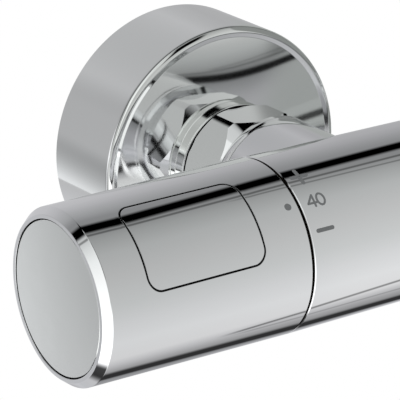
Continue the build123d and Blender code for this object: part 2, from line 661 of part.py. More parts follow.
def nose_o_ring():
    """The rubber ring between the nose and the body."""
    half = (NOSE_BORE_R - nose_groove_r()) / 2
    wire = Plane.XZ * Pos(nose_groove_r() + half, nose_o_ring_height()) * Circle(half)
    return revolve(wire, axis=Axis.Z)


def return_spring():
    """The spring that pushes the shuttle back when the wax shrinks."""
    high = -SHUTTLE_WEB_DEPTH - SHUTTLE_WEB - SEAT_GAP
    low = -HOUSING_END_DEPTH + NOSE_CAP_PLUG + SEAT_GAP
    return coil(low, high, RETURN_SPRING_R, RETURN_WIRE_R, RETURN_TURNS)


# Flow cartridge, in the right end frame

FLOW_DISC_END = FLOW_BORE_DEPTH - DISC_SEAL_THICKNESS
STOP_CAVITY_DEPTH = COLLAR_TOP_DEPTH + COLLAR_THICKNESS + 2 * SEAT_GAP


def flow_cartridge_body():
    """The ceramic cartridge's brass body with its water windows and its quarter-turn stop."""
    nose_r = FLOW_BORE_R - SLIDE_FIT
    nose_end = FLOW_BORE_DEPTH - SEAT_GAP
    chamber_low = -FLOW_CHAMBER_DEPTH + SEAT_GAP
    stop_low = -STOP_CAVITY_DEPTH
    outline = neck_outline(FLOW_STOP_CAVITY_R) + [
        (chamber_low, CARTRIDGE_R), (chamber_low, nose_r), (-nose_end, nose_r),
        (-nose_end, FLOW_NOSE_BORE_R), (-FLOW_CHAMBER_DEPTH, FLOW_NOSE_BORE_R),
        (-FLOW_CHAMBER_DEPTH, DRIVE_SHAFT_R + SLIDE_FIT), (stop_low, DRIVE_SHAFT_R + SLIDE_FIT),
        (stop_low, FLOW_STOP_CAVITY_R)]
    body = cut_neck_flats(turned(outline))
    stop = sector(stop_low - TINY, -COLLAR_TOP_DEPTH + SEAT_GAP + TINY, COLLAR_R + 0.2,
                  FLOW_STOP_CAVITY_R + TINY, FLOW_STOP_TAB_ANGLE / 2 + STOP_SLACK_ANGLE,
                  360 - FLOW_STOP_TAB_ANGLE - FLOW_RANGE - 2 * STOP_SLACK_ANGLE)
    body += stop
    body -= groove(-(POCKET_DEPTH + FLOW_CHAMBER_DEPTH) / 2, CARTRIDGE_R, GROOVE_FLOOR_R)
    low = -FLOW_WINDOW_DEPTH - FLOW_WINDOW_HEIGHT / 2
    high = -FLOW_WINDOW_DEPTH + FLOW_WINDOW_HEIGHT / 2
    body -= disc(low, high, nose_r + CUT, nose_r - FLOW_GROOVE_DEPTH)
    window = block((FLOW_NOSE_BORE_R - CUT, -FLOW_WINDOW_WIDTH / 2, low + 0.5),
                   (nose_r + CUT, FLOW_WINDOW_WIDTH / 2, high - 0.5))
    for cutter in ring_of(window, 4):
        body -= cutter
    return body


def flow_spindle():
    """The flow spindle: splined head, stop collar, shaft and the tongue that turns the disc."""
    collar_low = -COLLAR_TOP_DEPTH - COLLAR_THICKNESS
    drive_low = -FLOW_DISC_END + 2 * DISC_THICKNESS + SEAT_GAP
    spindle = turned([
        (SPLINE_START, 0), (SPLINE_START, SHAFT_R), (-COLLAR_TOP_DEPTH, SHAFT_R),
        (-COLLAR_TOP_DEPTH, COLLAR_R), (collar_low, COLLAR_R), (collar_low, DRIVE_SHAFT_R),
        (-FLOW_CHAMBER_DEPTH - 2, DRIVE_SHAFT_R), (-FLOW_CHAMBER_DEPTH - 4, SHAFT_R - 1),
        (drive_low + 2, SHAFT_R - 1), (drive_low + 2, SHAFT_R + 2), (drive_low, SHAFT_R + 2), (drive_low, 0)])
    spindle += sector(collar_low, -COLLAR_TOP_DEPTH, SHAFT_R, FLOW_STOP_TAB_R,
                      -FLOW_STOP_TAB_ANGLE / 2, FLOW_STOP_TAB_ANGLE)
    half_w = DRIVE_TONGUE_WIDTH / 2
    half_l = DRIVE_TONGUE_LENGTH / 2
    spindle += block((-half_l, -half_w, drive_low - DRIVE_TONGUE_DEPTH), (half_l, half_w, drive_low + TINY))
    spindle += spline_prism(SPLINE_START, SPLINE_TOP, SPLINE_ROOT_R, SPLINE_TIP_R, SPLINE_COUNT)
    return spindle - disc(SPLINE_TOP - SCREW_REACH - 1, SPLINE_TOP + CUT, SCREW_R + SLIDE_FIT)


def ceramic_disc(low, port_angle):
    """A ceramic disc with two quarter-circle ports that face each other."""
    plate = disc(low, low + DISC_THICKNESS - TINY, FLOW_NOSE_BORE_R - SLIDE_FIT)
    for k in range(2):
        plate -= sector(low - CUT, low + DISC_THICKNESS + CUT, DISC_HUB_R, DISC_PORT_R,
                        port_angle - 40 + 180 * k, 80)
    return plate


def moving_ceramic_disc():
    """The upper disc, turned by the spindle's tongue; its ports stand across the fixed ones."""
    low = -FLOW_DISC_END + DISC_THICKNESS
    half_w = DRIVE_TONGUE_WIDTH / 2 + SLIDE_FIT
    half_l = DRIVE_TONGUE_LENGTH / 2 + SLIDE_FIT
    slot = block((-half_l, -half_w, low + DISC_THICKNESS - DRIVE_TONGUE_DEPTH - SLIDE_FIT),
                 (half_l, half_w, low + DISC_THICKNESS + CUT))
    return ceramic_disc(low, 90) - slot


def fixed_ceramic_disc():
    """The lower disc, keyed in the cartridge's nose."""
    return ceramic_disc(-FLOW_DISC_END, 0)


def disc_seal():
    """The lip seal between the fixed disc and the body."""
    return disc(-FLOW_BORE_DEPTH + TINY, -FLOW_DISC_END - TINY, FLOW_NOSE_BORE_R - SLIDE_FIT, DISC_PORT_R)


# Handles, in an end frame

def handle_shell():
    """A handle: outer shell, end web and hub, turned in one piece and ribbed inside."""
    inner_low = handle_r(SEAM_GAP) - HANDLE_WALL
    web_low = WEB_TOP - WEB_THICKNESS
    recess_r = CAP_R + CAP_GAP
    ledge = HANDLE_TOP - CAP_THICKNESS - SEAT_GAP
    shell = turned([
        (SEAM_GAP, handle_r(SEAM_GAP) - 0.2), (SEAM_GAP + 0.2, handle_r(SEAM_GAP + 0.2)),
        (HANDLE_TOP - TIP_BEVEL_LENGTH, HANDLE_TIP_R), (HANDLE_TOP, HANDLE_TIP_R - TIP_BEVEL_DEPTH),
        (HANDLE_TOP, recess_r), (ledge, recess_r), (ledge, CAP_SKIRT_R + SLIDE_FIT),
        (WEB_TOP, CAP_SKIRT_R + SLIDE_FIT), (WEB_TOP, SCREW_R + THREAD_FIT),
        (INSERT_TOP + SEAT_GAP, SCREW_R + THREAD_FIT), (INSERT_TOP + SEAT_GAP, INSERT_R + SLIDE_FIT),
        (HUB_START, INSERT_R + SLIDE_FIT), (HUB_START, HUB_R), (web_low, HUB_R),
        (web_low, handle_r(web_low) - HANDLE_WALL), (SEAM_GAP, inner_low)])
    key_half = INSERT_KEY_WIDTH / 2 + SLIDE_FIT
    key_slot = block((-INSERT_KEY_R - SLIDE_FIT, -key_half, HUB_START - CUT),
                     (0, key_half, INSERT_TOP + SEAT_GAP))
    shell -= Rot(0, 0, BUTTON_TURN) * key_slot
    rib = block((HUB_R - 0.5, -RIB_THICKNESS / 2, RIB_START),
                (BODY_R - HANDLE_WALL - 0.2, RIB_THICKNESS / 2, web_low + TINY))
    for angle in RIB_ANGLES:
        shell += Rot(0, 0, angle) * rib
    return shell


def button_prism(grow, inner, outer):
    """The button's rounded outline, grown on all sides, as a prism along the button's travel."""
    outline = RectangleRounded(BUTTON_LENGTH + 2 * grow, BUTTON_WIDTH + 2 * grow, BUTTON_CORNER_R + grow)
    prism = extrude(outline, outer - inner)
    return Rot(0, 0, BUTTON_TURN) * Pos(inner, 0, BUTTON_CENTRE) * Rot(0, 90, 0) * prism


def post_centres():
    """Heights of the two guide posts of the button."""
    return BUTTON_CENTRE - POST_SPACING / 2, BUTTON_CENTRE + POST_SPACING / 2


def post_at(height, inner, outer, radius):
    """A round bar along the button's travel."""
    bar = Cylinder(radius, outer - inner, align=(Align.CENTER, Align.CENTER, Align.MIN))
    return Rot(0, 0, BUTTON_TURN) * Pos(inner, 0, height) * Rot(0, 90, 0) * bar


def temperature_handle():
    """The temperature handle: a handle with the button's window and its two guide towers."""
    shell = handle_shell() - button_prism(BUTTON_GAP, HUB_R + 3, BODY_R + CUT)
    hub_bore = disc(HUB_START, INSERT_TOP + SEAT_GAP, INSERT_R + SLIDE_FIT)
    for height in post_centres():
        tower = post_at(height, HUB_R - 1, TOWER_TOP, TOWER_R)
        shell += tower - hub_bore
        shell -= post_at(height, POST_FOOT - BUTTON_TRAVEL - BUTTON_CLEARANCE, TOWER_TOP + CUT, POST_R + SLIDE_FIT)
    return shell


def cone_shell(outer_gap, thickness):
    """The space under the handle's outer surface, from one depth over a thickness."""
    low, high = 0.0, HANDLE_TOP
    return turned([
        (low, handle_r(low) - outer_gap), (high, handle_r(high) - outer_gap),
        (high, handle_r(high) - outer_gap - thickness), (low, handle_r(low) - outer_gap - thickness)])


def safety_button():
    """The flush safety button: panel, hidden lip, guide posts and the finger that meets the stop."""
    lip_gap = HANDLE_WALL + BUTTON_CLEARANCE
    panel = cone_shell(0.0, lip_gap + BUTTON_LIP_THICKNESS) & button_prism(0.0, HUB_R + 2, BODY_R + CUT)
    lip = cone_shell(lip_gap, BUTTON_LIP_THICKNESS) & button_prism(BUTTON_LIP, HUB_R + 2, BODY_R + CUT)
    button = panel + lip
    under = BODY_R - lip_gap - BUTTON_LIP_THICKNESS
    for height in post_centres():
        button += post_at(height, POST_FOOT, under + 0.3, POST_R)
    button += Rot(0, 0, BUTTON_TURN) * finger(under)
    return button


def finger(under):
    """The tongue from the button's end to the stop ring, with a tip that points inward."""
    half = FINGER_WIDTH / 2
    tongue_low = under - FINGER_THICKNESS
    tongue_start = STOP_RING_TOP + BUTTON_CLEARANCE
    reach = BUTTON_CENTRE - BUTTON_LENGTH / 2 + 2.0
    tongue = block((tongue_low, -half, tongue_start), (under + 0.2, half, reach))
    tip = block((FINGER_INNER_R, -half, FINGER_TIP_START), (tongue_low + TINY, half, tongue_start + 1.6))
    return tongue + tip


def button_springs():
    """The two small springs under the button."""
    low = TOWER_TOP + SEAT_GAP
    springs = []
    for height in post_centres():
        under = handle_r(height + BUTTON_SPRING_R) - HANDLE_WALL - BUTTON_CLEARANCE - BUTTON_LIP_THICKNESS
        high = sqrt(under ** 2 - BUTTON_SPRING_R ** 2) - 0.3
        spring = coil(low, high, BUTTON_SPRING_R, BUTTON_SPRING_WIRE_R, BUTTON_SPRING_TURNS)
        springs.append(Rot(0, 0, BUTTON_TURN) * Pos(0, 0, height) * Rot(0, 90, 0) * spring)
    return Compound(children=springs)


def end_cap():
    """The flat cap on a handle's free end, with its snap skirt."""
    low = HANDLE_TOP - CAP_THICKNESS
    skirt_low = low - CAP_SKIRT_LENGTH
    cap = turned([
        (HANDLE_TOP, 0), (HANDLE_TOP, CAP_R - 0.15), (HANDLE_TOP - 0.15, CAP_R), (low, CAP_R),
        (low, CAP_SKIRT_R), (skirt_low, CAP_SKIRT_R), (skirt_low, CAP_SKIRT_R - CAP_SKIRT_WALL),
        (low, CAP_SKIRT_R - CAP_SKIRT_WALL), (low, 0)])
    slit = block((CAP_SKIRT_R - CAP_SKIRT_WALL - CUT, -0.8, skirt_low - CUT), (CAP_SKIRT_R + CUT, 0.8, low - 0.3))
    for cutter in ring_of(slit, 6):
        cap -= cutter
    return cap


def spline_insert():
    """The keyed insert between the handle's hub and the spindle's splines."""
    insert = disc(HUB_START, INSERT_TOP, INSERT_R)
    half = INSERT_KEY_WIDTH / 2
    key = block((-INSERT_KEY_R, -half, HUB_START), (-INSERT_R + 1, half, INSERT_TOP))
    insert += Rot(0, 0, BUTTON_TURN) * key
    insert -= spline_prism(HUB_START - CUT, SPLINE_TOP + SEAT_GAP, SPLINE_ROOT_R + SLIDE_FIT,
                           SPLINE_TIP_R + SLIDE_FIT, SPLINE_COUNT)
    return insert - disc(SPLINE_TOP - CUT, INSERT_TOP + CUT, SCREW_R + THREAD_FIT)


def handle_screw():
    """The socket screw that holds a handle on its spindle."""
    head_low = WEB_TOP + SEAT_GAP
    head_high = head_low + SCREW_HEAD_LENGTH
    screw = disc(head_low, head_high, SCREW_HEAD_R)
    screw += disc(SPLINE_TOP - SCREW_REACH, head_low + TINY, SCREW_R)
    return screw - hexagon(head_high - SCREW_SOCKET_DEPTH, head_high + CUT, SCREW_SOCKET_AF)


# Inlet unions, in an inlet frame

def inlet_tail():
    """The screwed tail that holds the union nut on the body."""
    low = TAIL_BORE_FLOOR + SEAT_GAP
    return turned([
        (low, TAIL_BORE_R), (low, TAIL_R), (FLANGE_FRONT, TAIL_R), (FLANGE_FRONT, TAIL_FLANGE_R),
        (FLANGE_FRONT + TAIL_FLANGE_THICKNESS, TAIL_FLANGE_R),
        (FLANGE_FRONT + TAIL_FLANGE_THICKNESS, TAIL_BORE_R)])


def union_nut():
    """The union nut: a round collar, a short neck and a hexagon coned at both ends."""
    flat = NUT_AF / 2
    corner = flat / cos(radians(30)) + CUT
    front_full = NUT_HEX_START + (corner - flat) / NUT_CONE_SLOPE
    back_full = NUT_BACK - (corner - NUT_BACK_R) / NUT_CONE_SLOPE
    neck = NUT_HEX_START - (flat - NUT_NECK_R) / NUT_CONE_SLOPE
    cones = turned([(neck, 0), (neck, NUT_NECK_R), (front_full, corner), (back_full, corner),
                    (NUT_BACK, NUT_BACK_R), (NUT_BACK, 0)])
    # The frame's Y axis points down, so the turn is taken the other way round.
    nut = hexagon(neck, NUT_BACK, NUT_AF, -NUT_TURN) & cones
    nut += turned([(NUT_FRONT, 0), (NUT_FRONT, NUT_COLLAR_START_R), (NUT_FRONT + NUT_COLLAR_RISE, NUT_COLLAR_R),
                   (NUT_COLLAR_END, NUT_COLLAR_R), (NUT_COLLAR_END, NUT_NECK_R), (neck + TINY, NUT_NECK_R),
                   (neck + TINY, 0)])
    nut -= disc(NUT_FRONT - CUT, NUT_BACK + CUT, TAIL_R + THREAD_FIT)
    return nut - disc(NUT_SEAT, NUT_BACK + CUT, THREAD_34_R + THREAD_FIT)


def sealing_washer():
    """The flat rubber washer of an inlet union."""
    return disc(WASHER_FRONT, WASHER_FRONT + WASHER_THICKNESS, TAIL_FLANGE_R - 0.2, WASHER_BORE_R)


def inlet_filter():
    """The perforated strainer disc inside the washer."""
    plate = disc(WASHER_FRONT + 0.4, WASHER_FRONT + 0.4 + FILTER_THICKNESS, FILTER_R)
    for ring, count in ((0.0, 1), (0.36, 6), (0.74, 12)):
        hole = Pos(ring * FILTER_R, 0) * disc(WASHER_FRONT - CUT, WASHER_FRONT + WASHER_THICKNESS, FILTER_HOLE_R)
        for cutter in ring_of(hole, count):
            plate -= cutter
    return plate


def crank(front_r, wall_r, front_z, wall_z):
    """An oblique cone from the bar's side to the higher wall side of a union."""
    front = Plane.XY.offset(front_z) * Circle(front_r)
    wall = Plane.XY.offset(wall_z) * Pos(0, -UNION_OFFSET) * Circle(wall_r)
    return loft([front, wall], ruled=True)


def s_union():
    """The cranked connector between the wall's pipe and the union nut."""
    end = WALL_DISTANCE + WALL_THREAD_LENGTH
    bevel = 0.8
    union = turned([(UNION_FRONT, 0), (UNION_FRONT, THREAD_34_R - bevel), (UNION_FRONT + bevel, THREAD_34_R),
                    (CRANK_LOW, THREAD_34_R), (CRANK_LOW, 0)])
    union += crank(THREAD_34_R, UNION_NECK_R, CRANK_LOW, CRANK_HIGH)
    thread = WALL_DISTANCE - WALL_THREAD_START
    wall_side = turned([(CRANK_HIGH, 0), (CRANK_HIGH, UNION_NECK_R), (thread, UNION_NECK_R), (thread, THREAD_12_R),
                        (end - bevel, THREAD_12_R), (end, THREAD_12_R - bevel), (end, 0)])
    union += Pos(0, -UNION_OFFSET) * wall_side
    union -= disc(UNION_FRONT - CUT, CRANK_LOW, UNION_BORE_R)
    union -= crank(UNION_BORE_R, UNION_WALL_BORE_R, CRANK_LOW, CRANK_HIGH)
    return union - Pos(0, -UNION_OFFSET) * disc(CRANK_HIGH, end + CUT, UNION_WALL_BORE_R)


def rosette():
    """The deep round cover that hides the wall's hole: a thin shell with a domed front and a short neck."""
    wall = WALL_DISTANCE
    rim = wall - ROSETTE_DEPTH
    edge = ROSETTE_EDGE_R
    hole = THREAD_34_R + THREAD_FIT
    flat_r = ROSETTE_R - edge
    front = rim - edge
    dome = front - ROSETTE_DOME
    diagonal = edge * cos(radians(45))
    neck = ROSETTE_NECK_R
    top = ROSETTE_NECK_FRONT
    back = dome + ROSETTE_WALL + ROSETTE_COLLAR_LENGTH
    inside = [(neck, 0, top + ROSETTE_NECK_BEVEL), (neck - ROSETTE_NECK_BEVEL, 0, top), (hole, 0, top),
              (hole, 0, back), (neck, 0, back), (neck, 0, dome + ROSETTE_WALL + 0.2),
              (flat_r, 0, front + ROSETTE_WALL), (ROSETTE_R - ROSETTE_WALL, 0, rim),
              (ROSETTE_R - ROSETTE_WALL, 0, wall), (ROSETTE_R, 0, wall)]
    outline = [
        Line((ROSETTE_R, 0, wall), (ROSETTE_R, 0, rim)),
        ThreePointArc((ROSETTE_R, 0, rim), (flat_r + diagonal, 0, rim - edge + (edge - diagonal)), (flat_r, 0, front)),
        ThreePointArc((flat_r, 0, front), ((flat_r + neck) / 2, 0, dome + ROSETTE_DOME * 0.24), (neck, 0, dome)),
        Line((neck, 0, dome), inside[0])]
    outline += [Line(a, b) for a, b in zip(inside, inside[1:])]
    return revolve(make_face(Wire(outline)), axis=Axis.Z)


CHECK_LOW = TAIL_BORE_FLOOR + SEAT_GAP
CHECK_HIGH = CHECK_LOW + CHECK_LENGTH
POPPET_HIGH = CHECK_HIGH - CHECK_SEAT_THICKNESS - SEAT_GAP


def check_valve_body():
    """The cage of a check valve: its seat on the wall side and a guide for the stem."""
    cage = disc(CHECK_LOW, CHECK_HIGH, CHECK_R, CHECK_SEAT_R)
    cage -= disc(CHECK_LOW - CUT, CHECK_HIGH - CHECK_SEAT_THICKNESS, CHECK_BORE_R)
    cage += disc(CHECK_LOW, CHECK_LOW + CHECK_GUIDE_THICKNESS, CHECK_SPRING_R + 0.6, CHECK_GUIDE_BORE_R)
    arm = block((CHECK_GUIDE_BORE_R + 0.4, -0.6, CHECK_LOW),
                (CHECK_BORE_R + 0.4, 0.6, CHECK_LOW + CHECK_GUIDE_THICKNESS))
    for rib in ring_of(arm, 3):
        cage += rib
    return cage


def check_valve_poppet():
    """The poppet of a check valve with its guide stem."""
    low = POPPET_HIGH - POPPET_THICKNESS
    poppet = disc(low, POPPET_HIGH, POPPET_R)
    return poppet + disc(CHECK_LOW + 0.3, low + TINY, POPPET_STEM_R)


def check_valve_spring():
    """The light spring that shuts a check valve."""
    low = CHECK_LOW + CHECK_GUIDE_THICKNESS + SEAT_GAP
    high = POPPET_HIGH - POPPET_THICKNESS - SEAT_GAP
    return coil(low, high, CHECK_SPRING_R, CHECK_SPRING_WIRE_R, CHECK_SPRING_TURNS)


def grouped(shapes):
    """Several loose solids as one node."""
    return Compound(children=list(shapes))


def all_parts():
    """Every node's name and shape, about the bar's axis."""
    parts = {
        "body_bar": body_bar(),
        "outlet_nipple": OUTLET * outlet_nipple(),
        "outlet_seal": OUTLET * outlet_seal(),
        "thermostat_housing": LEFT_END * thermostat_housing(),
        "thermostat_nut": LEFT_END * cartridge_nut(),
        "thermostat_spindle": LEFT_END * thermostat_spindle(),
        "thermostat_o_rings": LEFT_END * grouped(
            [o_ring(-depth, GROOVE_FLOOR_R) for depth in O_RING_DEPTHS] + [nose_o_ring()]),
        "thermostat_nose_cap": LEFT_END * thermostat_nose_cap(),
        "stop_ring": LEFT_END * stop_ring(),
        "regulating_shuttle": LEFT_END * regulating_shuttle(),
        "wax_element": LEFT_END * wax_element(),
        "setting_carrier": LEFT_END * carrier(),
        "overload_cup": LEFT_END * overload_cup(),
        "overload_clip": LEFT_END * overload_clip(),
        "overload_spring": LEFT_END * overload_spring(),
        "return_spring": LEFT_END * return_spring(),
        "temperature_handle": LEFT_END * temperature_handle(),
        "temperature_end_cap": LEFT_END * end_cap(),
        "temperature_insert": LEFT_END * spline_insert(),
        "temperature_screw": LEFT_END * handle_screw(),
        "safety_button": LEFT_END * safety_button(),
        "button_springs": LEFT_END * button_springs(),
        "flow_cartridge_body": RIGHT_END * flow_cartridge_body(),
        "flow_cartridge_nut": RIGHT_END * cartridge_nut(),
        "flow_o_ring": RIGHT_END * o_ring(-(POCKET_DEPTH + FLOW_CHAMBER_DEPTH) / 2, GROOVE_FLOOR_R),
        "flow_spindle": RIGHT_END * flow_spindle(),
        "moving_ceramic_disc": RIGHT_END * moving_ceramic_disc(),
        "fixed_ceramic_disc": RIGHT_END * fixed_ceramic_disc(),
        "disc_seal": RIGHT_END * disc_seal(),
        "flow_handle": RIGHT_END * handle_shell(),
        "flow_end_cap": RIGHT_END * end_cap(),
        "flow_insert": RIGHT_END * spline_insert(),
        "flow_screw": RIGHT_END * handle_screw(),
    }
    union_pieces = {
        "inlet_tail": inlet_tail(),
        "union_nut": union_nut(),
        "sealing_washer": sealing_washer(),
        "filter": inlet_filter(),
        "s_union": s_union(),
        "rosette": rosette(),
        "check_valve_body": check_valve_body(),
        "check_valve_poppet": check_valve_poppet(),
        "check_valve_spring": check_valve_spring(),
    }
    for side, frame in (("hot", HOT_INLET), ("cold", COLD_INLET)):
        for name, shape in union_pieces.items():
            parts[side + "_" + name] = frame * shape
    return parts


os.makedirs("parts", exist_ok=True)
for node, shape in all_parts().items():
    export_step(TO_WALL_FRAME * shape, "parts/" + node + ".step")
    print(node)
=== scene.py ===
"""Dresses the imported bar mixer: smooth chromed surfaces over the CAD frame, materials, marks and a studio.

Sizes are written in millimetres about the bar's axis and turned to metres in the row's frame.
"""
import math

import bmesh
import bpy
import numpy as np
from bpy.props import FloatProperty, FloatVectorProperty, PointerProperty
from mathutils import Matrix, Vector


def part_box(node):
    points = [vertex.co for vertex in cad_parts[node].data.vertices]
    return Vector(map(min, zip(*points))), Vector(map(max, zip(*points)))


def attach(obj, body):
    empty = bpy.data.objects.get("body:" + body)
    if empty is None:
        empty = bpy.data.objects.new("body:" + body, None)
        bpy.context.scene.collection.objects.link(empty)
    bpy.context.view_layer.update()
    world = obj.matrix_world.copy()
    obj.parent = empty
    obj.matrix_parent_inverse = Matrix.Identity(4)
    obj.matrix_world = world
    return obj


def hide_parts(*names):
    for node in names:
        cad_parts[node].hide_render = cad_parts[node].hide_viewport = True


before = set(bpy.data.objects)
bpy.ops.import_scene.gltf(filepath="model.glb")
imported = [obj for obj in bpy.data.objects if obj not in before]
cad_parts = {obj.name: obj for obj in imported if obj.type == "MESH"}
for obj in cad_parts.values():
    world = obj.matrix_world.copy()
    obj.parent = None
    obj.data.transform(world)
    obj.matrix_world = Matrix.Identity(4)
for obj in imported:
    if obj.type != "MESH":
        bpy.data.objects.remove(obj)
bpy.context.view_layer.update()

bl_info = {
    "name": "Thermostatic Bar Mixer",
    "version": (1, 0, 0),
    "blender": (4, 5, 0),
    "location": "View3D > Sidebar > Bar mixer",
    "description": "Builds the visible surfaces of a thermostatic bar mixer over its packed model",
    "category": "Add Mesh",
}

# The bar's axis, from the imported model: the end caps are centred on it.
LOW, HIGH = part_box("temperature_end_cap")
AXIS_Y = (LOW.y + HIGH.y) / 2 * 1000
AXIS_Z = (LOW.z + HIGH.z) / 2 * 1000
BODY_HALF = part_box("body_bar")[1].x * 1000
INLET_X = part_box("cold_rosette")[0].x * 1000 + 35.0

# Body, measured from the bar's axis
BODY_R = 21.0
BODY_BEVEL = 0.2          # its bright bevel, on an end face that stands back END_SET_BACK from the solid's
END_SET_BACK = 0.3
BOSS_R = 17.15
BOSS_END = 30.8
BOSS_BEVEL = 0.3
BOSS_FILLET = 1.6
OUTLET_BOSS_R = 13.5
OUTLET_BOSS_END = 23.0
TAIL_R = 9.4
TAIL_BORE_R = 7.5

# Handles, measured outward from the body's end
HANDLE_START = 0.5
HANDLE_TOP = 54.3
HANDLE_WALL = 2.4
TIP_R = 20.35
TIP_BEVEL_LENGTH = 1.9
TIP_BEVEL_DEPTH = 1.5
WEB_LOW = 44.5
CAP_R = 17.6
CAP_DOME = 0.2            # how far the end cap's middle stands out over its rim

# Safety button: a prism that points at BUTTON_TURN in the left end's frame
BUTTON_TURN = math.radians(45.2 - 90)
BUTTON_CENTRE = 27.4
BUTTON_HALF_LENGTH = 15.05
BUTTON_HALF_WIDTH = 10.1
BUTTON_CORNER = 3.1
BUTTON_GAP = 0.25
BUTTON_EDGE = 0.15        # rounding of the button's and the window's edge
SHADE_EDGE_BEND = math.radians(25)    # how far round such an edge the chrome runs; the rest of the edge takes painted shade
BUTTON_DEPTH = 2.7
BUTTON_LIP = 1.0

# Inlet unions, measured from the bar's axis towards the wall
WALL = -AXIS_Y
NUT_TURN = math.radians(119.1)
NUT_FLAT = 15.4
NUT_CORNER = math.radians(26.5)   # from a flat's middle to where the corner is turned round
NUT_CONE_R = 14.85                # where the front cone starts
NUT_CONE_START = 35.2
NUT_BACK = 48.25
CONE_SLOPE = 0.763
THREAD_34_R = 13.2
THREAD_12_R = 10.48
UNION_RISE = 8.0
THREAD_PITCH = 1.814      # 14 threads to the inch
THREAD_DEPTH = 1.16
ROSETTE_R = 35.0
ROSETTE_CREST = 52.85
ROSETTE_EDGE = 1.5
ROSETTE_RIM_SLOPE = 0.14
ROSETTE_VALLEY_R = 32.3
ROSETTE_SLOPE = 0.067
ROSETTE_NECK_R = 16.0
ROSETTE_NECK_FRONT = 48.4
ROSETTE_NECK_EDGE = 0.3

# The photograph's camera: its place beside the seam between the temperature handle and the body
SEAM_X = -BODY_HALF - 0.25
CAMERA_OFFSET = (-270.75, -373.89, 186.29)
CAMERA_FORWARD = (0.5261, 0.7731, -0.3542)
CAMERA_UP = (0.19926, 0.29283, 0.93516)
CAMERA_LENS = 194.7


# Meshes

def shell(name, grids, body, sharp=32.0, inner=()):
    """One closed mesh from point grids of shape (n, m, 3) in millimetres about the bar's axis.

    Each grid is a surface sampled on two parameters. Neighbours share their border points, which are
    merged, and the normals are turned outwards. The inner grids take the piece's second material.
    """
    points, faces, start = [], [], 0
    for grid in list(grids) + list(inner):
        n, m = grid.shape[:2]
        index = start + np.arange(n * m).reshape(n, m)
        quads = np.stack((index[:-1, :-1], index[1:, :-1], index[1:, 1:], index[:-1, 1:]), axis=-1)
        points.append(grid.reshape(-1, 3))
        faces.append(quads.reshape(-1, 4))
        start += n * m
    points = (np.concatenate(points) + (0, AXIS_Y, AXIS_Z)) * 0.001
    mesh = bpy.data.meshes.new(name)
    mesh.from_pydata(points.tolist(), [], np.concatenate(faces).tolist())
    outside = sum(len(f) for f in faces[:len(grids)])
    index = (np.arange(len(mesh.polygons)) >= outside).astype(np.int32)
    mesh.polygons.foreach_set("material_index", index)
    work = bmesh.new()
    work.from_mesh(mesh)
    bmesh.ops.remove_doubles(work, verts=work.verts, dist=2e-7)
    bmesh.ops.dissolve_degenerate(work, edges=work.edges, dist=1e-8)
    bmesh.ops.recalc_face_normals(work, faces=work.faces)
    work.to_mesh(mesh)
    work.free()
    mesh.polygons.foreach_set("use_smooth", np.ones(len(mesh.polygons), dtype=bool))
    mesh.set_sharp_from_angle(angle=math.radians(sharp))
    piece = bpy.data.objects.new(name, mesh)
    bpy.context.scene.collection.objects.link(piece)
    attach(piece, body)
    return piece


def rounded_profile(corners, closed=True, steps=5, support=0.06):
    """(height, radius) points along a profile: each (height, radius, rounding) corner becomes an arc.

    Each straight run gets one more point close to both its ends, so that a flat face shades flat.
    """
    corners = [np.array(c, dtype=float) for c in corners]
    count = len(corners)
    points = []
    for k, corner in enumerate(corners):
        here, rounding = corner[:2], corner[2]
        before, after = corners[k - 1][:2], corners[(k + 1) % count][:2]
        if rounding <= 0 or (not closed and k in (0, count - 1)):
            points.append(here[None])
            continue
        a, b = before - here, after - here
        a, b = a / np.linalg.norm(a), b / np.linalg.norm(b)
        half = math.acos(max(-1.0, min(1.0, float(a @ b)))) / 2
        reach = rounding / math.tan(half)
        centre = here + (a + b) / np.linalg.norm(a + b) * rounding / math.sin(half)
        p, q = here + a * reach - centre, here + b * reach - centre
        sweep = math.acos(max(-1.0, min(1.0, float(p @ q) / rounding ** 2)))
        t = np.linspace(0, 1, steps + 1)[:, None]
        points.append(centre + (np.sin((1 - t) * sweep) * p + np.sin(t * sweep) * q) / math.sin(sweep))
    run = np.concatenate(points + ([points[0][:1]] if closed else []))
    step = np.diff(run, axis=0)
    length = np.linalg.norm(step, axis=1)
    long_run = length > 6 * support
    near = run[:-1][long_run] + step[long_run] / length[long_run, None] * support
    far = run[1:][long_run] - step[long_run] / length[long_run, None] * support
    where = np.flatnonzero(long_run) + 1
    order = np.concatenate((np.arange(len(run)), where - 0.6, where - 0.4))
    return np.concatenate((run, near, far))[np.argsort(order, kind="stable")]


def around(profile, angles, place):
    """A surface of revolution: radius(s) turned through every angle, at height(s), put in place."""
    h, r = profile[:, 0][:, None], profile[:, 1][:, None]
    t = angles[None, :]
    return place(h + 0 * t, r * np.cos(t), r * np.sin(t))


def full_turn(count):
    """Angles of a whole turn, both ends included."""
    return np.linspace(0, 2 * math.pi, count + 1)


def left_end(h, a, b):
    """Left end's frame: h outward of the body's end, a up, b to the wall."""
    return np.stack(np.broadcast_arrays(-BODY_HALF - h, b, a), axis=-1)


def right_end(h, a, b):
    """Right end's frame: h outward of the body's end, a down, b to the wall."""
    return np.stack(np.broadcast_arrays(BODY_HALF + h, b, -a), axis=-1)


def button_frame(h, u, v):
    """Left end's frame turned so that u points along the safety button's travel, outward."""
    c, s = math.cos(BUTTON_TURN), math.sin(BUTTON_TURN)
    return left_end(h, u * c - v * s, u * s + v * c)


def bar_frame(h, a, b):
    """h along the bar, a to the wall, b up."""
    return np.stack(np.broadcast_arrays(h, a, b), axis=-1)


def inlet_frame(x, rise=0.0):
    """A frame whose height runs to the wall, at x along the bar."""
    def place(h, a, b):
        return np.stack(np.broadcast_arrays(x + a, h, rise + b), axis=-1)
    return place


def outlet_frame(h, a, b):
    """A frame whose height runs down from the bar's axis."""
    return np.stack(np.broadcast_arrays(a, b, -h), axis=-1)


